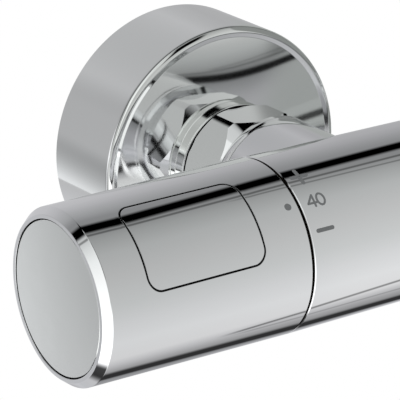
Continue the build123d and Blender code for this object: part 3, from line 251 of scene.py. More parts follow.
def cylinder_sides(low, high, inner, outer, count, place, rounding=0.15):
    """A closed ring: a rectangle with rounded corners, turned about the height."""
    corners = [(low, outer, rounding), (high, outer, rounding), (high, inner, 0), (low, inner, 0)]
    return around(rounded_profile(corners), full_turn(count), place)


def boss_grid(radius, bore, end, bevel, place_out):
    """A boss on the bar, blended by a ball of BOSS_FILLET rolled round the joint.

    For each angle t the ball's centre is ((r + f) cos t, sqrt((R + f)^2 - (r + f)^2 sin^2 t), (r + f) sin t).
    It touches the bar where that point is scaled to R, and the boss straight inward at radius r. Under the
    joint the shell closes on a cylinder just inside the bar's surface.
    """
    t = full_turn(160)
    f, outer_r = BOSS_FILLET, radius + BOSS_FILLET
    along, across = np.cos(t), np.sin(t)
    height = np.sqrt((BODY_R + f) ** 2 - (outer_r * across) ** 2)
    centre = np.stack((outer_r * along, height, outer_r * across), axis=-1)
    scale = BODY_R / (BODY_R + f)
    on_bar = np.stack((centre[:, 0], height * scale, centre[:, 2] * scale), axis=-1)
    on_boss = np.stack((radius * along, height, radius * across), axis=-1)
    p, q = on_bar - centre, on_boss - centre
    sweep = np.arccos(np.clip(np.sum(p * q, axis=1) / f ** 2, -1, 1))[:, None]
    s = np.linspace(0, 1, 13)[:, None, None]
    blend = centre + (np.sin((1 - s) * sweep) * p + np.sin(s * sweep) * q) / np.sin(sweep)
    under_r = BODY_R - 0.8
    sink = np.stack((on_bar[:, 0], on_bar[:, 1] * under_r / BODY_R, on_bar[:, 2] * under_r / BODY_R), axis=-1)
    inner = np.stack((bore * along, np.sqrt(under_r ** 2 - (bore * across) ** 2), bore * across), axis=-1)
    lid_s = np.linspace(0, 1, 7)[:, None]
    lid_x = inner[None, :, 0] * (1 - lid_s) + sink[None, :, 0] * lid_s
    lid_z = inner[None, :, 2] * (1 - lid_s) + sink[None, :, 2] * lid_s
    lid = np.stack((lid_x, np.sqrt(under_r ** 2 - lid_z ** 2), lid_z), axis=-1)
    top = rounded_profile([(0, radius, 0), (end - bevel, radius, 0.2), (end, radius - bevel, 0.12),
                           (end, bore, 0.1), (end - 2, bore, 0)], closed=False)
    top = top[top[:, 0] > end - 2.5]
    level, reach = top[:, 0][:, None] + 0 * t, top[:, 1][:, None]
    level = np.where(reach < radius - 1e-6, level, np.maximum(level, height))
    side = np.stack((reach * along, level, reach * across), axis=-1)
    grid = np.concatenate((lid, sink[None], blend, side, inner[None]))
    return place_out(grid)


# Button outline

def round_off(x, y, half_x, half_y, corner):
    """Maps a rectangle onto one with round corners.

    In a corner's square, the point (u, v) goes to (u sqrt(1 - v^2/2), v sqrt(1 - u^2/2)) of the quarter disc.
    """
    u = np.clip(np.abs(x) - (half_x - corner), 0, None) / corner
    v = np.clip(np.abs(y) - (half_y - corner), 0, None) / corner
    x2 = np.minimum(np.abs(x), half_x - corner) + corner * u * np.sqrt(1 - v * v / 2)
    y2 = np.minimum(np.abs(y), half_y - corner) + corner * v * np.sqrt(1 - u * u / 2)
    return np.sign(x) * x2, np.sign(y) * y2


def ticks(half, corner, straight, bend):
    """Grid lines across a rectangle: evenly spaced, closer together in the corners."""
    core = half - corner
    side = core + corner * np.linspace(0, 1, bend + 1)[1:]
    return np.concatenate((-side[::-1], np.linspace(-core, core, straight + 1), side)) / half


def border(grid_x, grid_y):
    """The border of a rectangular grid as one loop, first point repeated."""
    x = np.concatenate((grid_x, np.full(len(grid_y) - 1, grid_x[-1]), grid_x[-2::-1],
                        np.full(len(grid_y) - 1, grid_x[0])))
    y = np.concatenate((np.full(len(grid_x), grid_y[0]), grid_y[1:], np.full(len(grid_x) - 1, grid_y[-1]),
                        grid_y[-2::-1]))
    return x, y


LINES_X = ticks(BUTTON_HALF_LENGTH, BUTTON_CORNER, 24, 6)
LINES_Y = ticks(BUTTON_HALF_WIDTH, BUTTON_CORNER, 20, 6)
WINDOW_REACH = math.radians(40)
WINDOW_LENGTH = 16.4
EDGE_BEND = np.concatenate((np.linspace(0, SHADE_EDGE_BEND, 3), np.linspace(SHADE_EDGE_BEND, math.pi / 2, 5)[1:]))


def handle_r(h):
    """The handle's outer radius, which falls evenly towards the free end."""
    return BODY_R + (TIP_R - BODY_R) * (h - HANDLE_START) / (HANDLE_TOP - HANDLE_START - TIP_BEVEL_LENGTH)


def handle_angles():
    """Angles round the handle from the button's middle: fine across the window, even elsewhere."""
    front = LINES_Y * WINDOW_REACH
    back = np.linspace(WINDOW_REACH, 2 * math.pi - WINDOW_REACH, 171)
    return np.concatenate((front, back[1:]))


def on_handle(h, turn, depth):
    """A point of the handle's skin at a turn from the button's middle, depth under the surface."""
    r = handle_r(h) - depth
    return button_frame(h, r * np.cos(turn), r * np.sin(turn))


def pierced_skin(low, high, depth):
    """The handle's skin from low to high, with the button's window left open.

    Outside the window's neighbourhood it is r(h) swept round the axis. Inside, straight lines in the
    (height, turn) plane join the window's outline to the neighbourhood's border.
    """
    h_lines = BUTTON_CENTRE + LINES_X * WINDOW_LENGTH
    angles = handle_angles()
    front, back = angles[:len(LINES_Y)], angles[len(LINES_Y) - 1:]
    grids = []
    for span in ((low, h_lines[0]), (h_lines[-1], high)):
        h = np.linspace(*span, 4)[:, None]
        grids.append(on_handle(h, angles[None, :], depth))
    grids.append(on_handle(h_lines[:, None], back[None, :], depth))
    outer_h, outer_turn = border(h_lines, front)
    h, v = window_outline(BUTTON_GAP + (BUTTON_EDGE if depth == 0 else 0.0))
    turn = np.arcsin(v / (handle_r(h) - depth))
    s = np.array([0.0, 0.02, 0.12, 0.3, 0.5, 0.75, 1.0])[:, None]
    grids.append(on_handle(h + (outer_h - h) * s, turn + (outer_turn - turn) * s, depth))
    return grids


def window_outline(grow):
    """The button's outline grown on all sides: heights and sideways distances of its loop."""
    x, y = border(LINES_X, LINES_Y)
    half_x, half_y = BUTTON_HALF_LENGTH + grow, BUTTON_HALF_WIDTH + grow
    x, y = round_off(x * half_x, y * half_y, half_x, half_y, BUTTON_CORNER + grow)
    return BUTTON_CENTRE + x, y


def prism_ring(grow, depth):
    """One loop of the button's outline at a depth under the handle's surface, along the travel."""
    h, v = window_outline(grow)
    return button_frame(h, np.sqrt(handle_r(h) ** 2 - v ** 2) - depth, v)


def window_wall():
    """The window's side: the chrome start of its round edge, then the rest of it and the straight wall in painted
    shade.
    """
    rings = [prism_ring(BUTTON_GAP + BUTTON_EDGE * (1 - math.sin(a)), BUTTON_EDGE * (1 - math.cos(a)))
             for a in EDGE_BEND]
    h, v = window_outline(BUTTON_GAP)
    inner = np.sqrt((handle_r(h) - HANDLE_WALL) ** 2 - v ** 2)
    return np.stack(rings[:3]), np.stack(rings[2:] + [button_frame(h, inner, v)])


def tip_profiles():
    """The handle's free end: the bright outside with its bevel, then the recess, web and hub behind the cap."""
    inner = handle_r(WEB_LOW) - HANDLE_WALL
    last = HANDLE_TOP - TIP_BEVEL_LENGTH - 1.0
    bright = rounded_profile([
        (last, handle_r(last), 0), (HANDLE_TOP - TIP_BEVEL_LENGTH, TIP_R, 0.3),
        (HANDLE_TOP, TIP_R - TIP_BEVEL_DEPTH, 0.15), (HANDLE_TOP, 17.9, 0.1), (HANDLE_TOP - 0.2, 17.9, 0)],
        closed=False)
    hidden = rounded_profile([
        (HANDLE_TOP - 0.2, 17.9, 0), (52.25, 17.9, 0), (52.25, 16.65, 0), (47.0, 16.65, 0), (47.0, 2.55, 0),
        (30.05, 2.55, 0), (30.05, 6.25, 0), (13.0, 6.25, 0), (13.0, 8.2, 0.2), (WEB_LOW, 8.2, 0.3),
        (WEB_LOW, inner, 0)], closed=False)
    return bright, hidden


def seam_profiles():
    """The handle's open end: the bright edge, then the end face, dark with painted shade in the gap to the body."""
    outer, inner = handle_r(HANDLE_START), handle_r(HANDLE_START) - HANDLE_WALL
    bright = rounded_profile([(HANDLE_START, outer - 0.08, 0), (HANDLE_START + 0.08, outer, 0.05),
                              (1.2, handle_r(1.2), 0)], closed=False)
    hidden = rounded_profile([(1.2, handle_r(1.2) - HANDLE_WALL, 0), (HANDLE_START, inner, 0.05),
                              (HANDLE_START, outer - 0.08, 0)], closed=False)
    return bright, hidden


# Materials

def linear(colour):
    """Linear red, green, blue and alpha of an sRGB hex colour, or of a colour that is linear already."""
    if not isinstance(colour, str):
        return (*tuple(colour)[:3], 1.0)
    value = np.array([int(colour[k:k + 2], 16) for k in (1, 3, 5)]) / 255.0
    value = np.where(value <= 0.04045, value / 12.92, ((value + 0.055) / 1.055) ** 2.4)
    return (*value.tolist(), 1.0)


def add(tree, kind, links=None, **settings):
    """Adds a node, sets its properties or input sockets by name, and links the given sockets."""
    node = tree.nodes.new(kind)
    for key, value in settings.items():
        if hasattr(node, key) and key not in node.inputs:
            setattr(node, key, value)
        else:
            node.inputs[key.replace("_", " ")].default_value = value
    for key, socket in (links or {}).items():
        tree.links.new(socket, node.inputs[key])
    return node


def finish_material(name, base, roughness, metallic=0.0, grain_mm=0.4, bump=0.02, rough_spread=0.04,
                    stretch=(1.0, 1.0, 1.0), tint=None, ior=1.5):
    """A surface whose height varies with noise of a real grain size in millimetres.

    Its roughness, and its colour between base and tint, vary with the same noise fourteen times as wide.
    """
    material = bpy.data.materials.new(name)
    material.use_nodes = True
    tree = material.node_tree
    tree.nodes.clear()
    place = add(tree, "ShaderNodeTexCoord").outputs["Object"]
    scaled = add(tree, "ShaderNodeMapping", {"Vector": place}, Scale=stretch).outputs["Vector"]
    fine = add(tree, "ShaderNodeTexNoise", {"Vector": scaled}, Scale=1000.0 / grain_mm, Detail=3.0).outputs[0]
    wide = add(tree, "ShaderNodeTexNoise", {"Vector": scaled}, Scale=1000.0 / (grain_mm * 14), Detail=2.0).outputs[0]
    rough = add(tree, "ShaderNodeMapRange", {"Value": wide}, To_Min=max(0.0, roughness - rough_spread),
                To_Max=roughness + rough_spread)
    height = add(tree, "ShaderNodeBump", {"Height": fine}, Strength=bump, Distance=0.0001)
    mix = add(tree, "ShaderNodeMix", {"Factor": wide}, data_type="RGBA")
    socket_a, socket_b = [socket for socket in mix.inputs if socket.type == "RGBA"]
    socket_a.default_value, socket_b.default_value = linear(base), linear(tint)
    colour = [socket for socket in mix.outputs if socket.type == "RGBA"][0]
    shader = add(tree, "ShaderNodeBsdfPrincipled", {
        "Base Color": colour, "Roughness": rough.outputs[0], "Normal": height.outputs[0]},
        Metallic=metallic, IOR=ior)
    add(tree, "ShaderNodeOutputMaterial", {"Surface": shader.outputs[0]})
    return material


def wear(piece, material, inner=None):
    """Gives a piece or a CAD node its material in every slot, and its inner faces their own."""
    slots = piece.data.materials
    if len(slots) == 0:
        slots.append(material)
    for k in range(len(slots)):
        slots[k] = material
    if inner:
        slots.append(inner)


MATERIALS = {}


def make_materials(mark_colour):
    """Every finish of the mixer, named for what it is and how it is made."""
    chrome = "#f2f2f3"
    MATERIALS.update({
        # Bright chrome plating over polished cast brass: a mirror with the faintest orange peel.
        "polished_chrome_on_brass": finish_material(
            "polished_chrome_on_brass", chrome, 0.02, 1.0, grain_mm=3.0, bump=0.004, rough_spread=0.012,
            tint="#ebecee"),
        # The same plating over pressed sheet: a little flatter and calmer.
        "polished_chrome_on_sheet": finish_material(
            "polished_chrome_on_sheet", "#f3f4f3", 0.06, 1.0, grain_mm=6.0, bump=0.003, rough_spread=0.01,
            tint="#eff1f0"),
        # Chromed moulded plastic of the handles: as bright as the brass beside it.
        "polished_chrome_on_moulding": finish_material(
            "polished_chrome_on_moulding", "#f1f1f2", 0.025, 1.0, grain_mm=4.0, bump=0.004, rough_spread=0.015,
            tint="#eaebed"),
        # Satin chrome plating of the end caps: blurs the room into a soft sheen.
        "satin_chrome_cap": finish_material(
            "satin_chrome_cap", "#f4f6f4", 0.2, 1.0, grain_mm=0.25, bump=0.02, rough_spread=0.02,
            tint="#f0f2f0"),
        # Partly the handles' unplated black plastic inside, partly painted shade: near black on the faces in the gaps
        # at the seam, the cap and round the button, and on the button's sides.
        "black_moulding_and_gap_shade": finish_material(
            "black_moulding_and_gap_shade", "#0b0b0c", 0.7, grain_mm=0.4, bump=0.1, tint="#111112", ior=1.4),
        # Painted shade: near-black brass inside the body and on its end faces in the gaps at the handles, and in the
        # cover's gap behind the union nut.
        "painted_gap_shade_brass": finish_material(
            "painted_gap_shade_brass", "#15110b", 0.6, grain_mm=0.4, bump=0.15, tint="#211b11", ior=1.4),
        # Turned brass with fine tool rings, dulled by handling.
        "turned_brass": finish_material(
            "turned_brass", "#c9a45a", 0.28, 1.0, grain_mm=0.5, bump=0.15, rough_spread=0.08,
            stretch=(6.0, 0.4, 0.4), tint="#b28c47"),
        # Glass-filled moulding, off-white, with a faint flow pattern.
        "white_acetal": finish_material(
            "white_acetal", "#e6e4dc", 0.42, grain_mm=0.6, bump=0.08, tint="#dbd8ce", ior=1.48),
        "grey_nylon": finish_material(
            "grey_nylon", "#75777b", 0.5, grain_mm=0.5, bump=0.1, tint="#696b6f", ior=1.53),
        # Dyed moulding of the stop ring, as such rings are, so that it is found at service.
        "red_nylon": finish_material(
            "red_nylon", "#a3281d", 0.45, grain_mm=0.5, bump=0.1, tint="#8f2219", ior=1.53),
        # Seal rubber: nearly black, slightly bloomed.
        "seal_rubber": finish_material(
            "seal_rubber", "#1b1b1c", 0.62, grain_mm=0.3, bump=0.15, tint="#272728", ior=1.52),
        # Drawn copper of the wax element, browned by hot water.
        "drawn_copper": finish_material(
            "drawn_copper", "#c67c54", 0.3, 1.0, grain_mm=0.6, bump=0.1, rough_spread=0.08,
            stretch=(0.4, 3.0, 3.0), tint="#9d6040"),
        # Spring wire and screws: drawn stainless steel.
        "drawn_steel": finish_material(
            "drawn_steel", "#b9babd", 0.25, 1.0, grain_mm=0.3, bump=0.08, rough_spread=0.06,
            tint="#a7a8ac"),
        # Lapped alumina: dense, cream white, with a polished face.
        "lapped_alumina": finish_material(
            "lapped_alumina", "#e9e5d8", 0.12, grain_mm=0.8, bump=0.02, tint="#e0dccd", ior=1.76),
        # Laser-darkened marks in the chrome: matt grey, a little uneven.
        "dark_mark": finish_material(
            "dark_mark", mark_colour, 0.6, grain_mm=0.12, bump=0.05, tint="#666869", ior=1.4),
    })


NODE_FINISHES = {
    "turned_brass": ["thermostat_housing", "thermostat_nut", "thermostat_spindle", "flow_cartridge_body",
                     "flow_cartridge_nut", "flow_spindle"],
    "white_acetal": ["thermostat_nose_cap", "regulating_shuttle", "setting_carrier", "overload_cup",
                     "hot_check_valve_body", "cold_check_valve_body", "hot_check_valve_poppet",
                     "cold_check_valve_poppet"],
    "grey_nylon": ["temperature_insert", "flow_insert"],
    "red_nylon": ["stop_ring"],
    "seal_rubber": ["outlet_seal", "thermostat_o_rings", "flow_o_ring", "disc_seal", "hot_sealing_washer",
                    "cold_sealing_washer"],
    "drawn_copper": ["wax_element"],
    "drawn_steel": ["overload_clip", "overload_spring", "return_spring", "button_springs",
                    "hot_check_valve_spring", "cold_check_valve_spring", "hot_filter", "cold_filter",
                    "temperature_screw", "flow_screw"],
    "lapped_alumina": ["moving_ceramic_disc", "fixed_ceramic_disc"],
}


# Sizes and colours a user would change

class MixerLooks(bpy.types.PropertyGroup):
    mark_height: FloatProperty(name="Figure height", description="Height of the figures in millimetres",
                               default=3.1, min=1.0, max=8.0)
    mark_stroke: FloatProperty(name="Stroke width", description="Width of the marks' strokes in millimetres",
                               default=0.5, min=0.2, max=2.0)
    dot_diameter: FloatProperty(name="Dot diameter", description="Diameter of the handle's dot in millimetres",
                                default=1.7, min=0.5, max=4.0)
    room_light: FloatProperty(name="Room light", description="Strength of the studio's light",
                              default=1.12, min=0.0, max=4.0)
    mark_colour: FloatVectorProperty(name="Mark colour", description="Colour of the printed marks", subtype="COLOR",
                                     default=linear("#6a6c6d")[:3], min=0.0, max=1.0)


# Pieces

def handle_shell_mesh(name, place_is_left, body, node):
    """A handle: skin, free end and open end, all on the same angles."""
    angles = handle_angles()

    def place(h, a, b):
        c, s = math.cos(BUTTON_TURN), math.sin(BUTTON_TURN)
        a, b = a * c - b * s, a * s + b * c
        return left_end(h, a, b) if place_is_left else right_end(h, a, b)

    tip, behind_cap = tip_profiles()
    seam, end_face = seam_profiles()
    grids = [around(tip, angles, place), around(seam, angles, place)]
    # The inner grids take the near-black material: the unplated inside, and painted shade on the end face and the
    # recess in the gaps.
    inner = [around(behind_cap, angles, place), around(end_face, angles, place)]
    skin_high = HANDLE_TOP - TIP_BEVEL_LENGTH - 1.0
    if place_is_left:
        edge, wall = window_wall()
        grids += pierced_skin(1.2, skin_high, 0.0) + [edge]
        inner += pierced_skin(1.2, WEB_LOW, HANDLE_WALL) + [wall]
        for height in (BUTTON_CENTRE - 8.5, BUTTON_CENTRE + 8.5):
            tower = rounded_profile([(7.4, 4.1, 0), (11.5, 4.1, 0.2), (11.5, 2.25, 0.1), (7.4, 2.25, 0)])
            t = full_turn(48)[None, :]
            u, r = tower[:, 0][:, None], tower[:, 1][:, None]
            inner.append(button_frame(height + r * np.cos(t), u + 0 * t, r * np.sin(t)))
    else:
        for span, depth, part in (((1.2, skin_high), 0.0, grids), ((1.2, WEB_LOW), HANDLE_WALL, inner)):
            h = np.linspace(*span, 5)
            part.append(around(np.stack((h, handle_r(h) - depth), axis=-1), angles, place))
    for turn in (60.0, 135.0, -150.0):
        inner.append(rib_grid(math.radians(turn), left_end if place_is_left else right_end))
    piece = shell(name, grids, body, inner=inner)
    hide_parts(node)
    wear(piece, MATERIALS["polished_chrome_on_moulding"], MATERIALS["black_moulding_and_gap_shade"])
    return piece


def rib_grid(turn, place):
    """A stiffening rib inside a handle: a flat bar between the hub and the wall, closed at both ends."""
    h = np.array([31.0, 31.0, WEB_LOW, WEB_LOW, 31.0])
    r = np.array([8.0, 18.2, 18.2, 8.0, 8.0])
    side = np.array([0.0, -0.8, 0.8, 0.0])[:, None]
    centre = np.array([1.0, 0.0, 0.0, 1.0])[:, None]
    height = h[None, :] * (1 - centre) + 38.0 * centre
    radius = r[None, :] * (1 - centre) + 13.0 * centre
    side = side + np.array([-0.8, 0, 0, 0.8])[:, None] + 0 * height
    c, s = math.cos(turn), math.sin(turn)
    return place(height, radius * c - side * s, radius * s + side * c)


class MIXER_OT_body(bpy.types.Operator):
    """Builds the bar body with its blended bosses, and the threaded hose outlet"""
    bl_idname = "mixer.body"
    bl_label = "Bar body and outlet"

    def execute(self, context):
        e = BODY_HALF - END_SET_BACK
        rim = BODY_R - BODY_BEVEL
        barrel = rounded_profile([
            (-e, rim, 0), (-e + BODY_BEVEL, BODY_R, 0.06), (e - BODY_BEVEL, BODY_R, 0.06), (e, rim, 0)],
            closed=False)
        b = BODY_HALF
        # The end faces and bores take the second material: painted shade in the gaps at the handles.
        bores = rounded_profile([
            (e, rim, 0), (e, 17.0, 0.05), (b - 12, 17.0, 0), (b - 12, 15.0, 0), (b - 18, 15.0, 0),
            (b - 18, 9.5, 0), (b - 42, 9.5, 0), (b - 42, 7.0, 0), (58 - b, 7.0, 0), (58 - b, 9.0, 0),
            (50 - b, 9.0, 0), (50 - b, 15.0, 0), (12 - b, 15.0, 0), (12 - b, 17.0, 0), (-e, 17.0, 0.05),
            (-e, rim, 0)], closed=False)
        grids = [around(barrel, full_turn(240), bar_frame)]
        for x in (-INLET_X, INLET_X):
            grids.append(boss_grid(BOSS_R, TAIL_R + 0.1, BOSS_END, BOSS_BEVEL, lambda g, x=x: g + (x, 0, 0)))
        grids.append(boss_grid(OUTLET_BOSS_R, TAIL_R + 0.1, OUTLET_BOSS_END, 0.4,
                               lambda g: np.stack((g[..., 0], g[..., 2], -g[..., 1]), axis=-1)))
        piece = shell("bar_body_chrome", grids, "valve_body", inner=[around(bores, full_turn(240), bar_frame)])
        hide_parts("body_bar")
        wear(piece, MATERIALS["polished_chrome_on_brass"], MATERIALS["painted_gap_shade_brass"])

        flange = rounded_profile([(15.0, 6.6, 0), (15.0, 9.4, 0.2), (24.05, 9.4, 0), (24.05, 12.2, 0.25),
                                  (26.25, 12.2, 0.25), (26.25, 9.2, 0), (26.6, 9.2, 0), (26.6, 6.6, 0)])
        top = OUTLET_BOSS_END + 1.05 + 2.2
        grids = [around(flange, full_turn(160), outlet_frame)]
        grids += threaded_tube(top + 0.02, top + 12.0, THREAD_12_R, 6.6, outlet_frame)
        nipple = shell("hose_outlet_nipple", grids, "valve_body")
        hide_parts("outlet_nipple")
        wear(nipple, MATERIALS["polished_chrome_on_brass"])
        return {"FINISHED"}


def threaded_tube(low, high, radius, bore, place):
    """A tube with a parallel pipe thread.

    The outer radius is r - d (0.5 + 0.5 cos(2 pi (h / pitch - t / 2 pi))) sharpened towards a vee, and the
    depth d fades to nothing over half a pitch at both ends.
    """
    t = full_turn(96)[None, :]
    h = np.linspace(low, high, int((high - low) / THREAD_PITCH * 14) + 1)[:, None]
    wave = 0.5 + 0.5 * np.cos(2 * math.pi * h / THREAD_PITCH - t)
    fade = np.clip((h - low) / (0.6 * THREAD_PITCH), 0, 1) * np.clip((high - h) / (0.6 * THREAD_PITCH), 0, 1)
    r = radius - THREAD_DEPTH * wave * fade - 0.7 * np.clip(1 - (high - h) / 0.8, 0, 1)
    outer = place(h + 0 * t, r * np.cos(t), r * np.sin(t))
    ends = np.array([[high, 0.0], [high, 1.0], [low, 1.0], [low, 0.0]])
    edge = np.where(ends[:, :1] == high, r[-1:], r[:1])
    ring = np.where(ends[:, 1:] == 1.0, bore, edge)
    inner = place(ends[:, :1] + 0 * t, ring * np.cos(t), ring * np.sin(t))
    return [outer, inner]


class MIXER_OT_handles(bpy.types.Operator):
    """Builds both handles with their satin end caps, and the flush safety button"""
    bl_idname = "mixer.handles"
    bl_label = "Handles, caps and button"

    def execute(self, context):
        handle_shell_mesh("temperature_handle_chrome", True, "temperature_knob", "temperature_handle")
        handle_shell_mesh("flow_handle_chrome", False, "flow_knob", "flow_handle")
        r = np.linspace(0.001, CAP_R - 0.1, 12)
        face = np.stack((HANDLE_TOP - CAP_DOME * (r / CAP_R) ** 2, r), axis=-1)
        face = np.concatenate((face, [[HANDLE_TOP - CAP_DOME - 0.1, CAP_R], [HANDLE_TOP - 0.4, CAP_R]]))
        skirt = rounded_profile([(HANDLE_TOP - 0.4, CAP_R, 0), (52.75, 17.6, 0), (52.75, 16.6, 0), (49.35, 16.6, 0),
                                 (49.35, 15.7, 0), (52.75, 15.7, 0), (52.75, 0.001, 0)], closed=False)
        for name, place, body, node in (("temperature_cap_satin", left_end, "temperature_knob", "temperature_end_cap"),
                                        ("flow_cap_satin", right_end, "flow_knob", "flow_end_cap")):
            piece = shell(name, [around(face, full_turn(200), place)], body,
                          inner=[around(skirt, full_turn(200), place)])
            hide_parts(node)
            wear(piece, MATERIALS["satin_chrome_cap"], MATERIALS["black_moulding_and_gap_shade"])
        self.button()
        return {"FINISHED"}

    def button(self):
        """The button: a top that follows the handle, a straight side, a hidden lip, posts and finger."""
        edge = BUTTON_EDGE
        x, y = np.meshgrid(LINES_X, LINES_Y, indexing="ij")

        def panel(grow, depth):
            half_x, half_y = BUTTON_HALF_LENGTH + grow, BUTTON_HALF_WIDTH + grow
            h, v = round_off(x * half_x, y * half_y, half_x, half_y, BUTTON_CORNER + grow)
            h = h + BUTTON_CENTRE
            return button_frame(h, np.sqrt(handle_r(h) ** 2 - v ** 2) - depth, v)

        # The round edge is chrome up to its first bend; the rest of it and the side take painted shade in the gap round
        # the button, and the lip, posts and finger share that material.
        rings = [prism_ring(-edge * (1 - math.sin(a)), edge * (1 - math.cos(a))) for a in EDGE_BEND]
        side = rings[2:] + [prism_ring(0.0, BUTTON_DEPTH), prism_ring(BUTTON_LIP, BUTTON_DEPTH),
                            prism_ring(BUTTON_LIP, BUTTON_DEPTH + 1.0)]
        grids = [panel(-edge - 0.06, 0.0), np.stack([prism_ring(-edge - 0.06, 0.0)] + rings[:3])]
        inner = [np.stack(side), panel(BUTTON_LIP, BUTTON_DEPTH + 1.0)]
        t = full_turn(40)[None, :]
        for height in (BUTTON_CENTRE - 8.5, BUTTON_CENTRE + 8.5):
            post = rounded_profile([(9.7, 0.001, 0), (9.7, 2.2, 0.3), (17.0, 2.2, 0), (17.0, 0.001, 0)], closed=False)
            u, r = post[:, 0][:, None], post[:, 1][:, None]
            inner.append(button_frame(height + r * np.cos(t), u + 0 * t, r * np.sin(t)))
        inner.append(finger_grid())
        piece = shell("safety_button_chrome", grids, "safety_button", inner=inner)
        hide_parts("safety_button")
        wear(piece, MATERIALS["polished_chrome_on_moulding"], MATERIALS["black_moulding_and_gap_shade"])


def finger_grid():
    """The button's stop finger: an L-shaped outline carried across its width, with flat ends."""
    h = np.array([4.6, 9.9, 9.9, 14.35, 14.35, 8.3, 8.3, 4.6, 4.6])
    u = np.array([14.35, 14.35, 16.1, 16.1, 17.5, 17.5, 16.1, 16.1, 14.35])
    v = np.array([-2.5, -2.5, 2.5, 2.5])[:, None]
    shrink = np.array([1.0, 0.0, 0.0, 1.0])[:, None]
    mid_h, mid_u = 9.1, 16.1
    return button_frame(h * (1 - shrink) + mid_h * shrink, u * (1 - shrink) + mid_u * shrink, v + 0 * h)


class MIXER_OT_unions(bpy.types.Operator):
    """Builds each inlet's tail, union nut, cranked union and round cover"""
    bl_idname = "mixer.unions"
    bl_label = "Inlet unions and covers"

    def execute(self, context):
        for side, x in (("hot", -INLET_X), ("cold", INLET_X)):
            place = inlet_frame(x)
            tail = cylinder_sides(20.05, 37.95, TAIL_BORE_R, TAIL_R, 96, place)
            flange = cylinder_sides(35.55, 37.95, TAIL_BORE_R + 0.5, 12.6, 120, place)
            self.keep(shell(side + "_tail_brass", [tail, flange], "valve_body"), side + "_inlet_tail",
                      "chromed_body", "polished_chrome_on_brass")
            self.keep(shell(side + "_nut_chrome", nut_grids(place), "valve_body", sharp=14.0), side + "_union_nut",
                      "chromed_nut", "polished_chrome_on_brass")
            self.keep(shell(side + "_s_union_brass", union_grids(x), "valve_body"), side + "_s_union",
                      "chromed_body", "polished_chrome_on_brass")
            # The cover's gap behind the union nut takes painted shade.
            outside, inside, gap = [around(part, full_turn(256), place) for part in cover_profiles()]
            self.keep(shell(side + "_cover_chrome", [outside, inside], "valve_body", inner=[gap]),
                      side + "_rosette", "chromed_cover", "polished_chrome_on_sheet", "painted_gap_shade_brass")
        return {"FINISHED"}

    def keep(self, piece, node, slot_name, finish, inner=None):
        """Lets a piece stand for its CAD node, with its finish."""
        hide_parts(node)
        wear(piece, MATERIALS[finish], MATERIALS.get(inner))


def nut_grids(place):
    """The union nut: a turned collar and neck, and a hexagon cut by a cone at each end.

    At angle t the hexagon's radius is flat / cos(t from the flat's middle), turned down to a round at the
    corners. The cones meet it at the height where their radius is the same, and the grid's rows follow those
    edges exactly.
    """
    flat = NUT_FLAT
    per_flat = 120
    t = NUT_TURN + full_turn(6 * per_flat)
    from_flat = (np.arange(6 * per_flat + 1) % per_flat) / per_flat * (math.pi / 3) - math.pi / 6
    hexagon = flat / np.cos(np.clip(from_flat, -NUT_CORNER, NUT_CORNER))
    start = NUT_CONE_START + (hexagon - NUT_CONE_R) / CONE_SLOPE
    end = NUT_BACK - (hexagon - flat) / CONE_SLOPE
    back_r = 0 * t + flat
    neck = NUT_CONE_START - (NUT_CONE_R - 14.75) / CONE_SLOPE
    turned = rounded_profile([(30.95, 9.5, 0), (30.95, 16.9, 0.1), (31.3, 17.3, 0.1), (32.8, 17.3, 0.1),
                              (32.8, 14.75, 0.1), (neck, 14.75, 0)], closed=False)
    rows_h = [turned[:, 0][:, None] + 0 * t, np.stack((start, start + (end - start) * 0.02,
              start + (end - start) * 0.98, end, NUT_BACK + 0 * t, NUT_BACK + 0 * t, 35.5 + 0 * t, 35.5 + 0 * t,
              30.95 + 0 * t))]
    rows_r = [turned[:, 1][:, None] + 0 * t, np.stack((hexagon, hexagon, hexagon, hexagon, back_r, 13.3 + 0 * t,
              13.3 + 0 * t, 9.5 + 0 * t, 9.5 + 0 * t))]
    h, r = np.concatenate(rows_h), np.concatenate(rows_r)
    return [place(h, r * np.cos(t), r * np.sin(t))]


def union_grids(x):
    """The cranked union: a screwed front, an oblique cone up to the wall's height, a screwed wall end.

    Each ring is a circle whose centre climbs UNION_RISE along the cone, so rings stay upright.
    """
    low, crank_low, crank_high, wall = 40.05, 57.55, 64.55, WALL
    t = full_turn(96)[None, :]
    h, r, rise = np.array([
        (low, 8.0, 0), (low, 12.4, 0), (low + 0.8, THREAD_34_R, 0), (crank_low, THREAD_34_R, 0),
        (crank_high, 10.1, 1), (wall - 3.0, 10.1, 1), (wall - 3.0, 7.0, 1), (crank_high, 7.0, 1),
        (crank_low, 8.0, 0), (low, 8.0, 0)]).T[:, :, None]
    front = np.stack((x + r * np.cos(t), h + 0 * t, rise * UNION_RISE + r * np.sin(t)), axis=-1)
    return [front] + threaded_tube(wall - 3.0, wall + 16.0, THREAD_12_R, 7.0, inlet_frame(x, UNION_RISE))


